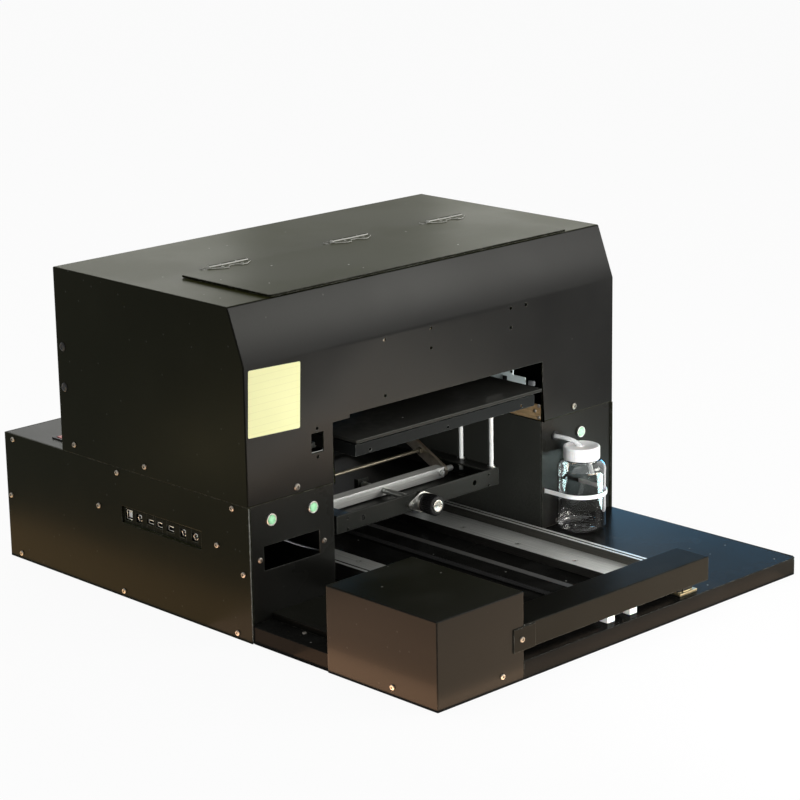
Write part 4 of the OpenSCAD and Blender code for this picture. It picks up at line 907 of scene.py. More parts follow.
@dataclass
class Assembly:
    """A group of pieces. Most take the shape of their solids, with rounded edges."""

    rounded: Edges = table()
    finishes: Finishes = table()

    def finish_of(self, node: str) -> Finish:
        """The finish of a solid, from its slot unless the group says otherwise."""
        return self.finishes.get(node, SLOT_FINISHES[NODE_SLOTS[node]])

    def build(self) -> None:
        """Makes the rounded pieces, then the group's own."""
        for node, edges in self.rounded.items():
            self.soften(node, edges)
        self.dress()

    def soften(self, node: str, edges: Pair, second: Optional[Finish] = None, test: Optional[FaceTest] = None,
               level: Optional[float] = None) -> None:
        """Makes a piece from a solid, with rounded edges.

        Args:
            node: Name of the solid's node.
            edges: Radius of its folds and of its other edges.
            second: A second finish, if any.
            test: Whether a face takes the second finish.
            level: Height at which faces are parted first, if any.
        """
        work = Workpiece.from_node(node).round_edges(*edges)
        if test:
            work.paint(test, level)
        work.make(node + "_dressed", self.finish_of(node), replaces=(node,), weighted=True, second=second)

    def dress(self) -> None:
        """Makes the group's own pieces."""


@dataclass
class Casing(Assembly):
    """Base, hood, lid, drive box and front beam in coated sheet steel, with a blank label."""

    rounded: Edges = table(
        base_pan=(0.0, 0.4), deck_plate=(1.2, 0.5), cable_cover=(1.2, 0.5), left_side_panel=(0.8, 0.5),
        right_side_panel=(0.8, 0.5), rear_panel=(0.0, 0.5), left_front_panel=(0.0, 0.5),
        right_front_panel=(0.0, 0.5), left_column_liner=(1.5, 0.5), right_column_liner=(1.5, 0.5),
        top_lid=(0.0, 0.6), drive_box_cover=(1.6, 0.5))
    finishes: Finishes = table(
        deck_plate=DECK_COAT, left_front_panel=COLUMN_COAT, right_front_panel=COLUMN_COAT, top_lid=LID_COAT,
        drive_box_cover=BOX_COAT, cable_cover=BOX_COAT, left_column_liner=LINER_COAT,
        right_column_liner=LINER_COAT, hood_shell=BLACK_COAT, front_beam=BEAM_COAT)
    hood_edges: Pair = (1.8, 0.5)
    beam_edges: Pair = (1.4, 0.5)
    label_size: float = 80.4
    label_corner: float = 2.0
    label_middle: Pair = (-274.4, 290.0)
    label_tilt: float = -2.4
    label_gap: float = 0.02
    label_thickness: float = 0.25
    plug_radius: float = 5.6
    plug_heights: Pair = (252.0, 304.0)
    plug_setback: float = 13.0
    brace: tuple[Pair, ...] = (
        (-262, 115.2), (-249.8, 108.8), (-236.8, 102), (-222.7, 95.3), (-208.2, 88.8), (-196, 83.8),
        (-190, 79), (-186, 75.5))
    brace_gauge: float = 1.2
    brace_front: float = -72.0
    brace_depth: float = 60.0
    # Pale strips down the front left corner: a painted highlight of its edges.
    outer_strip: Span = ((-319.9, -86.3, 4), (-318.3, -85.8, 167))
    inner_strip: Span = ((-317.6, -84.7, 24), (-315.4, -83.8, 166.5))
    strip_edges: Pair = (0.15, 0.3)
    clip: Span = ((-206, -72, 213.2), (-199.4, -62, 220.5))
    clip_edge: float = 1.6

    def dress(self) -> None:
        """Adds the hood and beam, each with a second coat on some faces as painted light, the small fittings
        and the label.
        """
        self._label()
        self._plugs()
        self._brace()
        outer, inner = self.strip_edges
        # Pale strips down the front left corner paint its edge highlights.
        strips = Workpiece().box(*self.outer_strip, outer).box(*self.inner_strip, inner)
        strips.make("corner_strips", CORNER_HIGHLIGHT_COAT, Body.BASE)
        # The hood's front faces take a second coat: a painted reflection.
        self.soften("hood_shell", self.hood_edges, FRONT_REFLECTION_COAT, lambda face: face.normal.y < -FACING)
        # The beam's top faces take a second coat with less reflection: painted shade.
        self.soften("front_beam", self.beam_edges, BEAM_TOP_SHADE_COAT, lambda face: face.normal.z > FACING)
        Workpiece().box(*self.clip, self.clip_edge).make("port_clip", LINER_COAT, Body.BASE)

    def _label(self) -> None:
        """Adds the blank label, a little askew, with round corners."""
        inset = self.label_size / 2 - self.label_corner
        tilt = Matrix.Rotation(math.radians(self.label_tilt), 2)
        outline = [tilt @ (Vector((x * inset, z * inset)) + point) + Vector(self.label_middle)
                   for x, z, start in ((1, 1, 0), (-1, 1, 90), (-1, -1, 180), (1, -1, 270))
                   for point in curve_arc(self.label_corner, start, start + 90, 4)]
        place = (0, node_box("hood_shell")[0].y - self.label_gap, 0)
        label = Workpiece().extruded(outline, place, Axis.RIGHT, self.label_thickness)
        label.make("blank_label", LABEL_PAPER, Body.BASE)

    def _plugs(self) -> None:
        """Adds the plugs of the round holes in the hood's left side."""
        low, high = node_box("hood_shell")
        r = self.plug_radius
        profile = ((r - 1.2, -3), (r - 1.2, 0), (r, 0), (r, 0.5), (r - 0.7, 1.1), (r - 2.2, 1.4),
                   (r - 2.6, 0.9), (0, 0.9))
        places = [(low.x, high.y - self.plug_setback, height) for height in self.plug_heights]
        Workpiece().turned(profile, Axis.LEFT, 32, *places).make("hole_plugs", BLACK_PLASTIC, Body.BASE)

    def _brace(self) -> None:
        """Adds the curved brace behind the window of the left column, pale on its edges."""
        under = [(x, z - self.brace_gauge) for x, z in reversed(self.brace)]
        place = (0, self.brace_front, 0)
        brace = Workpiece().extruded([*self.brace, *under], place, Axis.RIGHT, -self.brace_depth)
        brace.paint(lambda face: abs(face.normal.y) > FACING)
        brace.make("inner_brace", LINER_COAT, Body.BASE, second=GREY_NYLON)


@dataclass
class LidHinges(Assembly):
    """The lid's hinges, painted over: scuffed edges and front faces pale as painted glints."""

    finishes: Finishes = table(lid_leaves=HINGE_COAT, lid_hinges=HINGE_COAT)
    edges: Pair = (0.0, 0.2)
    # Faces that look back by more than this share stay dark; the rest take the painted glint.
    glint_tilt: float = 0.3

    def dress(self) -> None:
        """Makes both halves of the hinges, pale as a painted glint on all faces but those that look up or
        back.
        """
        for node in self.finishes:
            self.soften(node, self.edges, HINGE_GLINT,
                        lambda face: face.normal.z < FACING and face.normal.y < self.glint_tilt)


@dataclass
class BeltDrive(Assembly):
    """Motor, shaft, bearings, pulleys and toothed belt that move the table."""

    rounded: Edges = table(
        table_motor=(0.0, 0.6), shaft_blocks=(0.0, 0.6), drive_shaft=(0.0, 0.3), idler_pulley=(0.0, 0.3),
        idler_bracket=(0.0, 0.4), belt_clamp=(0.0, 0.5))
    finishes: Finishes = table(end_bearing=BRASS)
    bearing_edges: Pair = (0.0, 0.4)
    belt_thickness: float = 1.6
    tooth_pitch: float = 5.0
    tooth_depth: float = 0.9
    tooth_sections: int = 4
    plate_top: float = 27.0

    def dress(self) -> None:
        """Adds the belt, and the end bearing with its brass plate."""
        self._belt()
        self.soften("end_bearing", self.bearing_edges, DARK_STEEL,
                    lambda face: face.calc_center_median().z > self.plate_top, self.plate_top)

    def _belt(self) -> None:
        """Makes the belt round both pulleys, toothed inside."""
        low, high = node_box("table_belt")
        middle = (low + high) / 2
        radius = (high.z - low.z) / 2
        straight = high.y - low.y - 2 * radius
        half = straight + math.pi * radius
        each = self.tooth_sections
        count = each * round(2 * half / self.tooth_pitch)
        sections = []
        for i in range(count):
            way = 1 if 2 * i < count else -1
            along = i / count * 2 * half - (half if way < 0 else 0.0)
            turn = max(along - straight, 0.0) / radius
            y = middle.y + way * (min(along, straight) - straight / 2)
            outward = way * Vector((0, math.sin(turn), math.cos(turn)))
            inner = radius - self.belt_thickness + (0.0 if i % each < each / 2 else self.tooth_depth)
            edge = ((low.x, radius), (high.x, radius), (high.x, inner), (low.x, inner))
            sections.append([Vector((x, y, middle.z)) + outward * r for x, r in edge])
        belt = Workpiece()
        outer = {vert for ring in belt.lofted(sections, closed=True) for vert in ring[:2]}
        belt.paint(lambda face: outer.issuperset(face.verts))
        belt.make("toothed_belt", BELT_RUBBER, replaces=("table_belt",), smooth=20, second=BELT_BACK)


@dataclass
class Rails(Assembly):
    """The two brushed rails with their countersunk screws."""

    finishes: Finishes = table(table_rails=ALUMINIUM)
    edges: Pair = (0.0, 0.35)
    screw_x: float = 93.0
    first_screw: float = 23.0
    last_gap: float = 20.0
    pitch: float = 98.0
    web_top: float = 33.7
    head_radius: float = 4.4

    def dress(self) -> None:
        """Adds the rails, bright on top with painted shade on their sides, and a screw in each countersunk
        hole.
        """
        self.soften("table_rails", self.edges, RAIL_SIDE_SHADE, lambda face: abs(face.normal.x) > FACING)
        low, high = node_box("table_rails")
        r = self.head_radius
        profile = ((2.0, -5), (2.0, -2.2), (r, -0.35), (r - 0.1, -0.25), (0.52 * r, -0.25, hexagon),
                   (0.5 * r, -1.8, hexagon), (0, -2.0))
        first = low.y + self.first_screw
        count = math.ceil((high.y - self.last_gap - first) / self.pitch)
        places = [(side * self.screw_x, first + i * self.pitch, self.web_top)
                  for i in range(count) for side in SIDES]
        Workpiece().turned(profile, Axis.UP, 24, *places).make("rail_screws", PLATED_STEEL, Body.BASE)


@dataclass
class Carriage(Assembly):
    """The rolling carriage under the table."""

    rounded: Edges = table(
        carriage_tray=(1.2, 0.4), tray_bushes=(0.0, 0.3), truck_legs=(0.0, 0.4), front_wheels=(0.0, 0.5),
        rear_wheels=(0.0, 0.5), rear_pivot_shaft=(0.0, 0.4))
    finishes: Finishes = table(carriage_tray=TRAY_COAT)


@dataclass
class Lift(Assembly):
    """Scissor lift: knob, threaded screw, nut bar, arms, rods and posts."""

    rounded: Edges = table(
        knob_bearing=(0.0, 0.5), nut_bar=(0.6, 0.5), front_arms=(0.0, 0.5), rear_arms=(0.0, 0.5),
        arm_rods=(0.0, 0.3), guide_posts=(0.0, 0.8))
    finishes: Finishes = table(arm_rods=ROD_STEEL, nut_bar=BAR_ALUMINIUM, guide_posts=POST_STEEL)
    lead: float = 4.0
    thread_depth: float = 0.45
    rings_per_turn: int = 8
    flutes: int = 30
    flute_depth: float = 0.085
    bolt_pitch: float = 36.6
    bolt_seat: float = 5.0

    def dress(self) -> None:
        """Adds the threaded screw, the knob with its cap, and the bearing bolts."""
        self._screw()
        self._knob()
        low, high = node_box("knob_bearing")
        profile = ((4.6, -0.2), (4.6, 0.6), (3.6, 0.6, hexagon), (3.6, 3.0, hexagon), (3.0, 3.4), (0, 3.4))
        places = [(side * self.bolt_pitch / 2, high.y - self.bolt_seat, (low.z + high.z) / 2)
                  for side in SIDES]
        Workpiece().turned(profile, Axis.FRONT, 24, *places).make("bearing_bolts", PLATED_STEEL, Body.TABLE)

    def _thread(self, radius: float, phase: float) -> RingShape:
        """Outline of the thread at a phase of its turn."""
        return lambda a: 1 - self.thread_depth / radius * abs(((a - phase) / math.pi) % 2 - 1)

    def _screw(self) -> None:
        """Makes the lift screw with its thread."""
        low, high = node_box("lift_screw")
        radius = (high.x - low.x) / 2
        long = high.y - low.y
        count = round(long / self.lead * self.rings_per_turn)
        rings = [(radius, i / count * long, self._thread(radius, i / self.rings_per_turn * TURN))
                 for i in range(count + 1)]
        place = (0, low.y, (low.z + high.z) / 2)
        screw = Workpiece().turned([(0, 0), *rings, (0, long)], Axis.BACK, 24, place)
        screw.make("threaded_screw", ALUMINIUM, replaces=("lift_screw",), smooth=60)

    def _knob(self) -> None:
        """Makes the fluted knob and its bright end cap."""
        low, high = node_box("lift_knob")
        middle = (low + high) / 2
        r = (high.x - low.x) / 2
        long = high.y - low.y
        flutes = fluted(self.flutes, self.flute_depth)
        profile = ((0, 0.6), (0.66 * r, 0.6), (0.7 * r, 0.0), (0.86 * r, 0.0), (0.95 * r, 0.5, flutes),
                   (r, 1.6, flutes), (r, 0.55 * long, flutes), (r, long - 4.2, flutes),
                   (0.95 * r, long - 3.2, flutes), (0.93 * r, long - 2.8), (0.97 * r, long - 2.0),
                   (0.97 * r, long - 0.6), (0.93 * r, long), (4.4, long))
        knob = Workpiece().turned(profile, Axis.BACK, 8 * self.flutes, (middle.x, low.y, middle.z))
        knob.make("fluted_knob", BLACK_PLASTIC, replaces=("lift_knob",))
        low, high = node_box("knob_cap")
        r = (high.x - low.x) / 2
        profile = ((0, 0.5), (0.12 * r, 0.5), (0.2 * r, 0.9), (0.62 * r, 0.8), (0.7 * r, 1.0), (0.9 * r, 1.2),
                   (r, 0.9), (r, 0), (r - 0.4, -0.6))
        cap = Workpiece().turned(profile, Axis.FRONT, 64, (middle.x, high.y, middle.z))
        cap.make("bright_cap", PLATED_STEEL, replaces=("knob_cap",))


@dataclass
class Table(Assembly):
    """The table top and its frame."""

    rounded: Edges = table(platen_frame=(0.9, 0.4))
    finishes: Finishes = table(platen_frame=FRAME_COAT, platen_top=GLOSS_BLACK)
    top_edges: Pair = (0.0, 0.7)
    lit_slopes: Pair = (-0.95, -0.2)

    def dress(self) -> None:
        """Adds the table top with its lit front edges."""
        low, high = self.lit_slopes
        self.soften("platen_top", self.top_edges, LINER_COAT, lambda face: low < face.normal.y < high)


@dataclass
class PrintEngine(Assembly):
    """Head, lamp, guide and drive inside the hood."""

    rounded: Edges = table(
        engine_beam=(1.0, 0.4), head_rail=(0.0, 0.5), head_drive=(0.0, 0.5), head_carriage=(1.2, 0.5),
        print_head=(0.6, 0.4), uv_lamp=(0.0, 0.3))
    finishes: Finishes = table(engine_brackets=AMBER_STEEL)
    bracket_edges: Pair = (0.8, 0.4)
    bays: int = 4
    bay_pitch: float = 17.0
    first_damper: Point = (8.6, 24.0, -17.5)
    damper_size: Point = (11.8, 26.0, 20.5)
    damper_edge: float = 0.8
    amber_top: float = 190.0
    amber_edge: float = 195.0
    plate_x: float = 184.0
    plate_gauge: float = 1.4
    plate_outline: tuple[Pair, ...] = (
        (30, 190), (30, 229), (-16, 229), (-17.5, 226), (-22.5, 226), (-24, 229), (-32.5, 229),
        (-32.5, 221.5), (-54, 221.5), (-54, 190))
    plate_edge: float = 0.3
    block: Span = ((182, -71, 213), (185.5, -61, 219.5))
    block_edge: float = 0.8
    stop: Span = ((181.5, -22, 211), (184.2, -16, 218.2))
    stop_edge: float = 0.5
    stop_pin: Point = (184, -30, 225.4)
    lip_x: float = 185.5
    lip_screws: tuple[Pair, ...] = ((-77.4, 187.5), (-70.5, 179.4), (-77.4, 171.8))

    def dress(self) -> None:
        """Adds the brackets, the parking station and the ink dampers."""
        self.soften("engine_brackets", self.bracket_edges, DARK_STEEL, self._dark, self.amber_top)
        self._station()
        self._dampers()

    def _dark(self, face: bmesh.types.BMFace) -> bool:
        """Whether a face of the brackets is dark: all but the low lips beside the tunnel."""
        middle = face.calc_center_median()
        return middle.z > self.amber_top or abs(middle.x) > self.amber_edge

    def _station(self) -> None:
        """Adds the parking station: a painted plate, a grey block, small screws, and a stop with its pin."""
        place = (self.plate_x, 0, 0)
        plate = Workpiece().extruded(self.plate_outline, place, Axis.BACK, self.plate_gauge, self.plate_edge)
        plate.make("station_plate", PALE_PAINT, Body.BASE)
        Workpiece().box(*self.block, self.block_edge).make("station_block", GREY_NYLON, Body.BASE)
        profile = ((2.4, -0.3), (2.4, 0.6), (1.9, 1.3), (0.9, 1.6), (0, 1.6))
        places = [(self.lip_x, y, z) for y, z in self.lip_screws]
        Workpiece().turned(profile, Axis.LEFT, 20, *places).make("lip_screws", PLATED_STEEL, Body.BASE)
        pin = ((1.9, -0.2), (1.9, 0.3), (1.5, 0.5), (0, 0.3))
        stop = Workpiece().box(*self.stop, self.stop_edge).turned(pin, Axis.LEFT, 20, self.stop_pin)
        stop.make("station_stop", BLACK_PLASTIC, Body.BASE)

    def _dampers(self) -> None:
        """Adds an ink damper with a hose stub in each bay of the carriage."""
        low, high = node_box("head_carriage")
        first = Vector((low.x, low.y, high.z)) + Vector(self.first_damper)
        size = Vector(self.damper_size)
        corners = [first + i * self.bay_pitch * Axis.RIGHT.vector for i in range(self.bays)]
        dampers = Workpiece()
        for corner in corners:
            dampers.box(corner, corner + size, self.damper_edge)
        dampers.make("ink_dampers", BLACK_PLASTIC, Body.HEAD)
        profile = ((3.4, -0.2), (3.4, 2), (2.2, 2.6), (2.2, 8), (2.6, 8.4), (2.0, 10), (1.2, 10), (1.2, 3),
                   (0, 3))
        places = [corner + Vector((size.x / 2, size.y / 2, size.z)) for corner in corners]
        Workpiece().turned(profile, Axis.UP, 20, *places).make("hose_stubs", WHITE_NYLON, Body.HEAD)


@dataclass
class WasteBottle(Assembly):
    """The clear bottle with its ribbed cap, strap and waste tube."""

    wall: float = 0.8
    floor: float = 2.2
    foot: float = 8.0
    side: float = 81.0
    neck_radius: float = 21.0
    neck_height: float = 18.0
    ribs: int = 60
    rib_depth: float = 0.01
    strap_thickness: float = 1.4
    strap_gap: float = 0.3
    strap_rib: float = 0.25
    strap_edge: float = 0.4
    tube_radius: float = 3.0
    tube_bore: float = 2.1
    tube_hole: Point = (208.0, -84.0, 144.0)
    tube_run: tuple[Point, ...] = (
        (0, 14, 0), (0, 2, 0), (0.7, -9, 0), (2.8, -17.5, -0.5), (5.3, -23.2, -1.9), (8.2, -27.9, -4.4),
        (11, -31.6, -8), (13.6, -34.4, -12.6), (16.6, -36.9, -19), (20, -38.8, -27.6), (23.8, -40.2, -38),
        (27.8, -41.4, -50))
    tube_steps: int = 3
    cap_hole: Pair = (220.4, -117.1)

    @property
    def place(self) -> Vector:
        """Middle of the bottle's foot."""
        low, high = node_box("waste_bottle")
        return Vector(((low.x + high.x) / 2, (low.y + high.y) / 2, low.z))

    @property
    def radius(self) -> float:
        """Radius of the bottle."""
        low, high = node_box("waste_bottle")
        return (high.x - low.x) / 2

    def dress(self) -> None:
        """Makes the bottle, its cap and strap, the tube, and the grommet that the tube leaves."""
        self._bottle()
        self._cap()
        self._strap()
        self._tube()
        profile = ((3.2, -1.5), (5.6, -1.5), (6.4, 0.2), (6.4, 1.2), (5.4, 2.0), (3.8, 2.0), (3.2, 1.4),
                   (3.2, -1.5))
        grommet = Workpiece().turned(profile, Axis.FRONT, 32, self.tube_hole)
        grommet.make("tube_grommet", BLACK_PLASTIC, Body.BASE)

    def _bottle(self) -> None:
        """Makes the bottle's outer and inner wall in one skin."""
        r, n, side, heel = self.radius, self.neck_radius, self.side, self.radius - self.foot
        neck = side + r - n
        base = [(0, self.floor), (0.55 * r, 1.4), (0.66 * r, 0.0), (heel, 0.0)]
        foot = [(heel + p.x, self.foot + p.y) for p in curve_arc(self.foot, -75, 0)]
        bulge = [(r - 0.35, 12.0), (r - 0.35, side - 4), (r, side)]
        crown = [(n + p.x, side + p.y) for p in curve_arc(r - n, 10, 88)]
        top = [(n, neck + 1), (n + 1.0, neck + 2.0), (n, neck + 3), (n, neck + self.neck_height)]
        outer = [*base, *foot, *bulge, *crown, *top]
        inner = [(max(x - self.wall, 0), max(z, self.wall + 0.6)) for x, z in reversed(outer[1:])]
        profile = [*outer, *inner, (0, self.floor + self.wall)]
        bottle = Workpiece().turned(profile, Axis.UP, 72, self.place)
        bottle.make("clear_bottle", CLEAR_PLASTIC, replaces=("waste_bottle",), smooth=60)

    def _cap(self) -> None:
        """Makes the ribbed screw cap with the hole for the tube."""
        low, high = node_box("bottle_cap")
        r = (high.x - low.x) / 2
        tall = high.z - low.z
        ribs = fluted(self.ribs, self.rib_depth)
        profile = ((self.neck_radius + 0.6, 0.2), (r - 0.5, 0), (r, 0.6, ribs), (r, tall - 2.4, ribs),
                   (r, tall - 1.6), (r - 0.5, tall - 0.5), (r - 1.6, tall), (r - 4.2, tall),
                   (r - 4.8, tall - 0.4), (0, tall - 0.4))
        cap = Workpiece().turned(profile, Axis.UP, 6 * self.ribs, (*self.place.xy, low.z))
        grommet = ((3.4, tall - 1.6), (5.0, tall - 0.9), (5.0, tall + 0.2), (4.4, tall + 0.6),
                   (3.6, tall + 0.6), (3.4, tall - 1.6))
        cap.turned(grommet, Axis.UP, 32, (*self.cap_hole, low.z))
        cap.make("ribbed_cap", WHITE_PLASTIC, replaces=("bottle_cap",))

    def _strap(self) -> None:
        """Makes the strap round the bottle into its two slots, with fine cross ribs."""
        low, high = node_box("bottle_strap")
        x, y, _ = self.place
        reach = self.radius + self.strap_gap
        arc = [(x + p.x, y - p.y) for p in curve_arc(reach, 180, 0, 48)]
        sections = []
        for i, spot in enumerate([(x - reach, high.y), *arc, (x + reach, high.y)]):
            point = Vector((*spot, 0))
            out = Vector((point.x - x, min(point.y - y, 0), 0)).normalized()
            thick = self.strap_thickness - (self.strap_rib if i % 2 else 0.0)
            edge = ((0, low.z), (thick, low.z + self.strap_edge), (thick, high.z - self.strap_edge),
                    (0, high.z))
            sections.append([point + out * d + Vector((0, 0, z)) for d, z in edge])
        strap = Workpiece()
        rings = strap.lofted(sections)
        for end in (0, -1):
            strap.bm.faces.new(rings[end])
        strap.make("bottle_tie", WHITE_PLASTIC, replaces=("bottle_strap",), smooth=50)

    def _tube(self) -> None:
        points = [Vector(p) + Vector(self.tube_hole) for p in self.tube_run]
        smooth = []
        for a, b, c, d in zip([points[0], *points], points, points[1:], [*points[2:], points[-1]]):
            for t in (k / self.tube_steps for k in range(self.tube_steps)):
                bend = (2 * a - 5 * b + 4 * c - d) * t ** 2 + (3 * b - a - 3 * c + d) * t ** 3
                smooth.append(0.5 * (2 * b + (c - a) * t + bend))
        smooth.append(points[-1])
        tube = Workpiece().piped(smooth, self.tube_radius, self.tube_bore, 20)
        piece = tube.make("waste_hose", CLEAR_TUBE, replaces=("waste_tube",), smooth=60)


@dataclass
class Controls(Assembly):
    """Lit push buttons in bright bezels, and the power rocker."""

    rounded: Edges = table(
        button_bezels=(0.0, 0.5), left_button=(0.0, 0.2), middle_button=(0.0, 0.2), right_button=(0.0, 0.2),
        power_rocker=(0.0, 0.5))


@dataclass
class SocketPanel(Assembly):
    """The sockets in the side recess, the mains inlet and the boards inside."""

    rounded: Edges = table(electronics=(0.0, 0.4))
    face: float = -315.0
    plate: Pair = (-317.4, -316.2)
    plate_rise: float = 10.8
    plate_gap: float = 0.2
    recess_y: float = 2.5
    recess_long: float = 152.0
    recess_middle: float = 109.0
    rim: float = 0.8
    rim_depth: float = 0.4
    rim_edge: float = 0.2
    shell_inset: float = 2.0
    tongue_inset: float = 3.2
    tongue_back: float = 5.0
    tongue_edge: float = 0.3
    ports: tuple[tuple[float, float, float, float], ...] = (
        (15, 11, 11, 3.4), (37, 11, 11, 3.4), (61, 13, 8, 0), (82.5, 12, 8, 0), (99.5, 13, 7, 0),
        (121.5, 11, 11, 3.4), (141.5, 14, 14, 0))

    def dress(self) -> None:
        """Adds the cover plate, the dull shells of the sockets and what is inside them."""
        self._plate()
        shells = Workpiece()
        tongues = Workpiece()
        pin = ((1.0, -4.8), (1.0, -1.6), (0.6, -1.0), (0, -0.9))
        for along, wide, tall, bore in self.ports:
            place = Vector((self.face, self.recess_y + along, self.recess_middle))
            if bore:
                ring = ((bore, -1.5), (bore + 0.8, -0.2), (bore + 0.8, 0.3), (bore + 0.2, 0.6), (bore, 0.3),
                        (bore, -1.5))
                shells.turned(ring, Axis.LEFT, 32, place)
                tongues.turned(pin, Axis.LEFT, 16, place)
            else:
                self._shell(shells, place, wide - self.shell_inset, tall - self.shell_inset)
                reach = wide / 2 - self.tongue_inset
                deep, rise = (3.6, 0.8) if wide > tall else (1.2, reach)
                low = place + Vector((deep, -reach, -rise))
                tongues.box(low, place + Vector((self.tongue_back, reach, rise)), self.tongue_edge)
        shells.make("socket_shells", PLATED_STEEL, Body.BASE)
        tongues.make("socket_tongues", WHITE_NYLON, Body.BASE)

    def _plate(self) -> None:
        """Adds the cover plate between the sockets."""
        plate = Workpiece()
        front, back = self.plate
        low, high = self.recess_middle - self.plate_rise, self.recess_middle + self.plate_rise
        reached = self.recess_y + self.plate_gap
        for along, wide, tall, _ in self.ports:
            first, last = (self.recess_y + along + side * (wide / 2 + self.plate_gap) for side in SIDES)
            rise = tall / 2 + self.plate_gap
            plate.box((front, reached, low), (back, first, high))
            plate.box((front, first, low), (back, last, self.recess_middle - rise))
            plate.box((front, first, self.recess_middle + rise), (back, last, high))
            reached = last
        plate.box((front, reached, low), (back, self.recess_y + self.recess_long - self.plate_gap, high))
        plate.make("socket_plate", BLACK_COAT, Body.BASE)

    def _shell(self, work: Workpiece, place: Vector, wide: float, tall: float) -> None:
        """Adds a thin frame in front of one socket.

        Args:
            work: The mesh to add to.
            place: Middle of the socket's front.
            wide: Width of the frame.
            tall: Height of the frame.
        """
        half, rise, rim = wide / 2, tall / 2, self.rim
        upright = Vector((self.rim_depth, rim / 2, rise))
        level = Vector((self.rim_depth, half - rim, rim / 2))
        for side in SIDES:
            middle = place + side * (half - rim / 2) * Axis.BACK.vector
            work.box(middle - upright, middle + upright, self.rim_edge)
            middle = place + side * (rise - rim / 2) * Axis.UP.vector
            work.box(middle - level, middle + level, self.rim_edge)


@dataclass
class Fasteners(Assembly):
    """Round-headed screws of the casing."""

    dome: float = 0.62
    shoulder: float = 0.44
    rear: float = 380.0

    def dress(self) -> None:
        """Makes a domed head with a hexagon socket where each solid head is."""
        heads = Workpiece()
        for low, high in Workpiece.from_node("screw_heads").islands():
            size = high - low
            thin = min(range(3), key=lambda i: size[i])
            axis = self._facing(thin, (low + high) / 2)
            r = max(size) / 2
            tall = size[thin]
            arc = [(r * (1 - self.shoulder + self.shoulder * math.cos(a)),
                    tall * (1 - self.dome + self.dome * math.sin(a))) for a in (0.0, 0.45, 0.9, math.pi / 2)]
            profile = [(r, 0), *arc, (0.5 * r, tall, hexagon), (0.46 * r, 0.45 * tall, hexagon),
                       (0, 0.4 * tall)]
            heads.turned(profile, axis, 24, (low + high) / 2 - axis.vector * tall / 2)
        heads.make("casing_screws", SCREW_STEEL, replaces=("screw_heads",))

    def _facing(self, thin: int, middle: Vector) -> Axis:
        """Finds which way a screw head faces.

        Args:
            thin: Index of its shortest side.
            middle: Its middle.

        Returns:
            The direction away from the machine.
        """
        if thin == 0:
            return Axis.LEFT if middle.x < 0 else Axis.RIGHT
        if thin == 1:
            return Axis.BACK if middle.y > self.rear else Axis.FRONT
        return Axis.UP


class Lamp(NamedTuple):
    """A soft rectangular lamp, in metres. Its level is its power on a quarter of a square metre."""

    name: str
    place: Point
    target: Point
    size: Pair
    level: float
    colour: Colour = (1.0, 1.0, 1.0)

    @classmethod
    def on_floor(cls, name: str, low: Pair, high: Pair, level: float, colour: Colour) -> "Lamp":
        """A lamp that lies just over the floor and faces up, from its corners on the floor."""
        size, middle = Vector(high) - Vector(low), (Vector(high) + Vector(low)) / 2
        return cls(name, (*middle, CARD_LIFT), (*middle, 1.0), tuple(size), level, colour)

    def hang(self) -> bpy.types.Object:
        """Adds the lamp to the scene.

        Returns:
            The lamp.
        """
        data = bpy.data.lights.new(self.name, "AREA")
        data.shape = "RECTANGLE"
        data.size, data.size_y = self.size
        data.energy = 4 * self.level * self.size[0] * self.size[1]
        data.color = self.colour
        lamp = bpy.data.objects.new(self.name, data)
        lamp.location = self.place
        lamp.rotation_euler = (Vector(self.target) - Vector(self.place)).to_track_quat("-Z", "Y").to_euler()
        lamp.visible_camera = False
        bpy.context.scene.collection.objects.link(lamp)
        return lamp


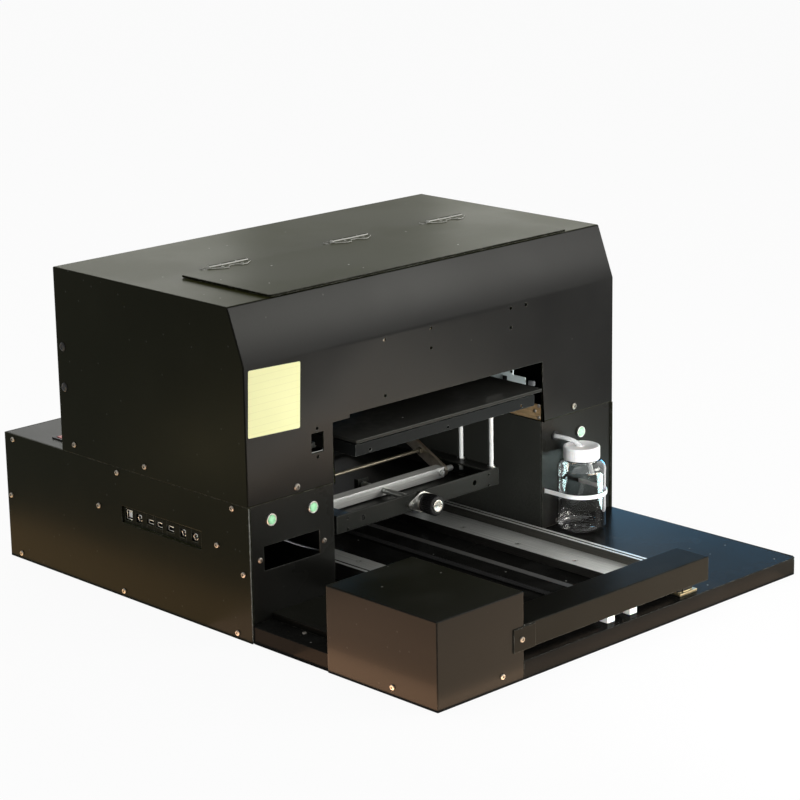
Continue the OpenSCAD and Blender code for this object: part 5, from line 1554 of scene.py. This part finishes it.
@dataclass
class Studio:
    """Camera, floor, world and soft lights. The cards light nothing and only show as soft reflections."""

    azimuth: float = -43.8754
    elevation: float = 15.2685
    roll: float = -0.9696
    place: Point = (-2.15446, -2.25156, 1.06912)
    focal_pixels: float = 2556.3156
    picture_pixels: float = 800.0
    sensor: float = 36.0
    world_level: float = 0.5
    floor_reach: float = 9.0
    floor_white: float = 0.93
    floor_greys: tuple[Colour, Colour] = ((0.86, 0.86, 0.86), (0.84, 0.84, 0.84))
    fill_spread: float = 60.0
    key: Lamp = Lamp("key", (1.75, -1.85, 0.95), (0.0, 0.0, 0.25), (1.3, 1.0), 22 / 5.2, (1.0, 0.985, 0.95))
    top: Lamp = Lamp("top", (-0.3, 0.5, 2.4), (0, 0, 0.2), (2.4, 2.0), 15 / 19.2)
    fill: Lamp = Lamp("fill", (-0.2, -1.5, 0.22), (0.2, -0.3, 0.05), (0.5, 0.35), 3.3 / 0.7)
    cards: tuple[Lamp, ...] = (
        Lamp.on_floor("box_card", (-0.62, -0.44), (-0.322, 0.0), 6.0, (1.0, 0.6, 0.36)),
        Lamp.on_floor("box_foot_card", (-0.38, -0.41), (-0.322, -0.15), 7.0, (1.0, 0.55, 0.3)),
        Lamp.on_floor("left_card", (-0.42, 0.0), (-0.322, 0.55), 3.4, (1.0, 0.58, 0.22)),
        Lamp.on_floor("front_card", (-0.34, -0.7), (0.6, -0.397), 5.0, (1.0, 0.7, 0.46)),
        Lamp.on_floor("front_foot_card", (-0.33, -0.45), (0.3, -0.397), 4.0, (1.0, 0.62, 0.38)),
        Lamp.on_floor("hood_card", (0.15, -1.3), (0.82, -0.8), 6.8, (1.0, 0.97, 0.88)),
        Lamp.on_floor("right_card", (0.36, -0.5), (0.5, -0.22), 8.0, (0.7, 1.0, 1.0)),
        Lamp.on_floor("side_card", (-1.0, 0.4), (-0.75, 0.65), 8.0, (1.0, 0.82, 0.42)),
        Lamp("slope_card", (1.5, -2.08, 1.12), (0.0, -0.07, 0.37), (1.0, 0.9), 4.6, (1.0, 1.0, 0.88)),
        Lamp("top_card", (0.62, 1.38, 0.75), (-0.29, 0.13, 0.404), (0.45, 0.3), 1.6, (1.0, 1.0, 0.92)),
        Lamp("lid_card", (1.42, 1.02, 0.73), (0.24, -0.02, 0.408), (0.45, 0.3), 1.6, (1.0, 1.0, 0.92)),
        Lamp("cool_card", (0.84, 0.48, 0.135), (0.28, -0.1, 0.02), (0.9, 0.25), 5.0, (0.03, 0.5, 1.0)))

    def build(self) -> None:
        """Sets up the camera, floor, world and lamps."""
        bpy.context.scene.view_settings.view_transform = "Standard"
        self._camera()
        self._floor()
        self._world()
        self.key.hang()
        self.top.hang()
        fill = self.fill.hang()
        fill.data.spread = math.radians(self.fill_spread)
        fill.visible_glossy = False
        for card in self.cards:
            card.hang().visible_diffuse = False

    def _camera(self) -> None:
        """Places the camera at the photograph's viewing angle."""
        az, el, ro = (math.radians(v) for v in (self.azimuth, self.elevation, self.roll))
        back = Vector((math.sin(az) * math.cos(el), -math.cos(az) * math.cos(el), math.sin(el)))
        side = (-back).cross(Axis.UP.vector).normalized()
        rise = side.cross(-back)
        right = math.cos(ro) * side + math.sin(ro) * rise
        up = math.cos(ro) * rise - math.sin(ro) * side
        data = bpy.data.cameras.new("camera")
        data.sensor_width = self.sensor
        data.lens = self.focal_pixels * self.sensor / self.picture_pixels
        camera = bpy.data.objects.new("camera", data)
        camera.matrix_world = Matrix.Translation(self.place) @ Matrix((right, up, back)).transposed().to_4x4()
        bpy.context.scene.collection.objects.link(camera)
        bpy.context.scene.camera = camera

    @staticmethod
    def _seen(graph: Graph) -> Socket:
        """Tells whether a ray shows the background: straight, mirrored or through glass.

        Args:
            graph: The graph to build in.

        Returns:
            1 where it does, or else 0.
        """
        path = graph.add("LightPath").outputs
        shown = graph.math("ADD", path["Is Camera Ray"], path["Is Glossy Ray"])
        return graph.math("MINIMUM", graph.math("ADD", shown, path["Is Transmission Ray"]), 1.0)

    def _floor(self) -> None:
        """Lays a pale floor that is white to the camera and keeps the shadow."""
        r = self.floor_reach
        mesh = bpy.data.meshes.new("floor")
        mesh.from_pydata([(-r, -r, 0), (r, -r, 0), (r, r, 0), (-r, r, 0)], [], [(0, 1, 2, 3)])
        material = bpy.data.materials.new("floor")
        material.use_nodes = True
        graph = Graph(material.node_tree)
        graph.tree.nodes.clear()
        cloud = graph.effect(Effect.SMUDGES, Scale=0.7)[0]
        plain = graph.add("BsdfDiffuse", {"Color": graph.blend(cloud, *self.floor_greys)})
        white = graph.add("Emission", {"Strength": 1.0})
        share = graph.product(self._seen(graph), self.floor_white)
        mixed = graph.add("MixShader", {0: share, 1: plain.outputs[0], 2: white.outputs[0]})
        graph.add("OutputMaterial", {"Surface": mixed.outputs[0]})
        mesh.materials.append(material)
        floor = bpy.data.objects.new("floor", mesh)
        bpy.context.scene.collection.objects.link(floor)

    def _world(self) -> None:
        """Makes a soft even sky that is white where it shows."""
        world = bpy.data.worlds.new("studio")
        world.use_nodes = True
        graph = Graph(world.node_tree)
        graph.tree.nodes.clear()
        strength = graph.spread(self._seen(graph), 0.0, 1.0, self.world_level)
        light = graph.add("Background", {"Color": (1.0, 1.0, 1.0), "Strength": strength})
        graph.add("OutputWorld", {"Surface": light.outputs[0]})
        bpy.context.scene.world = world


def main() -> None:
    """Builds the studio and every group of pieces."""
    logging.basicConfig(level=logging.INFO, format="%(name)s: %(message)s")
    Studio().build()
    for group in (Casing, LidHinges, BeltDrive, Rails, Carriage, Lift, Table, PrintEngine, WasteBottle,
                  Controls, SocketPanel, Fasteners):
        group().build()


if __name__ == "__main__":
    main()
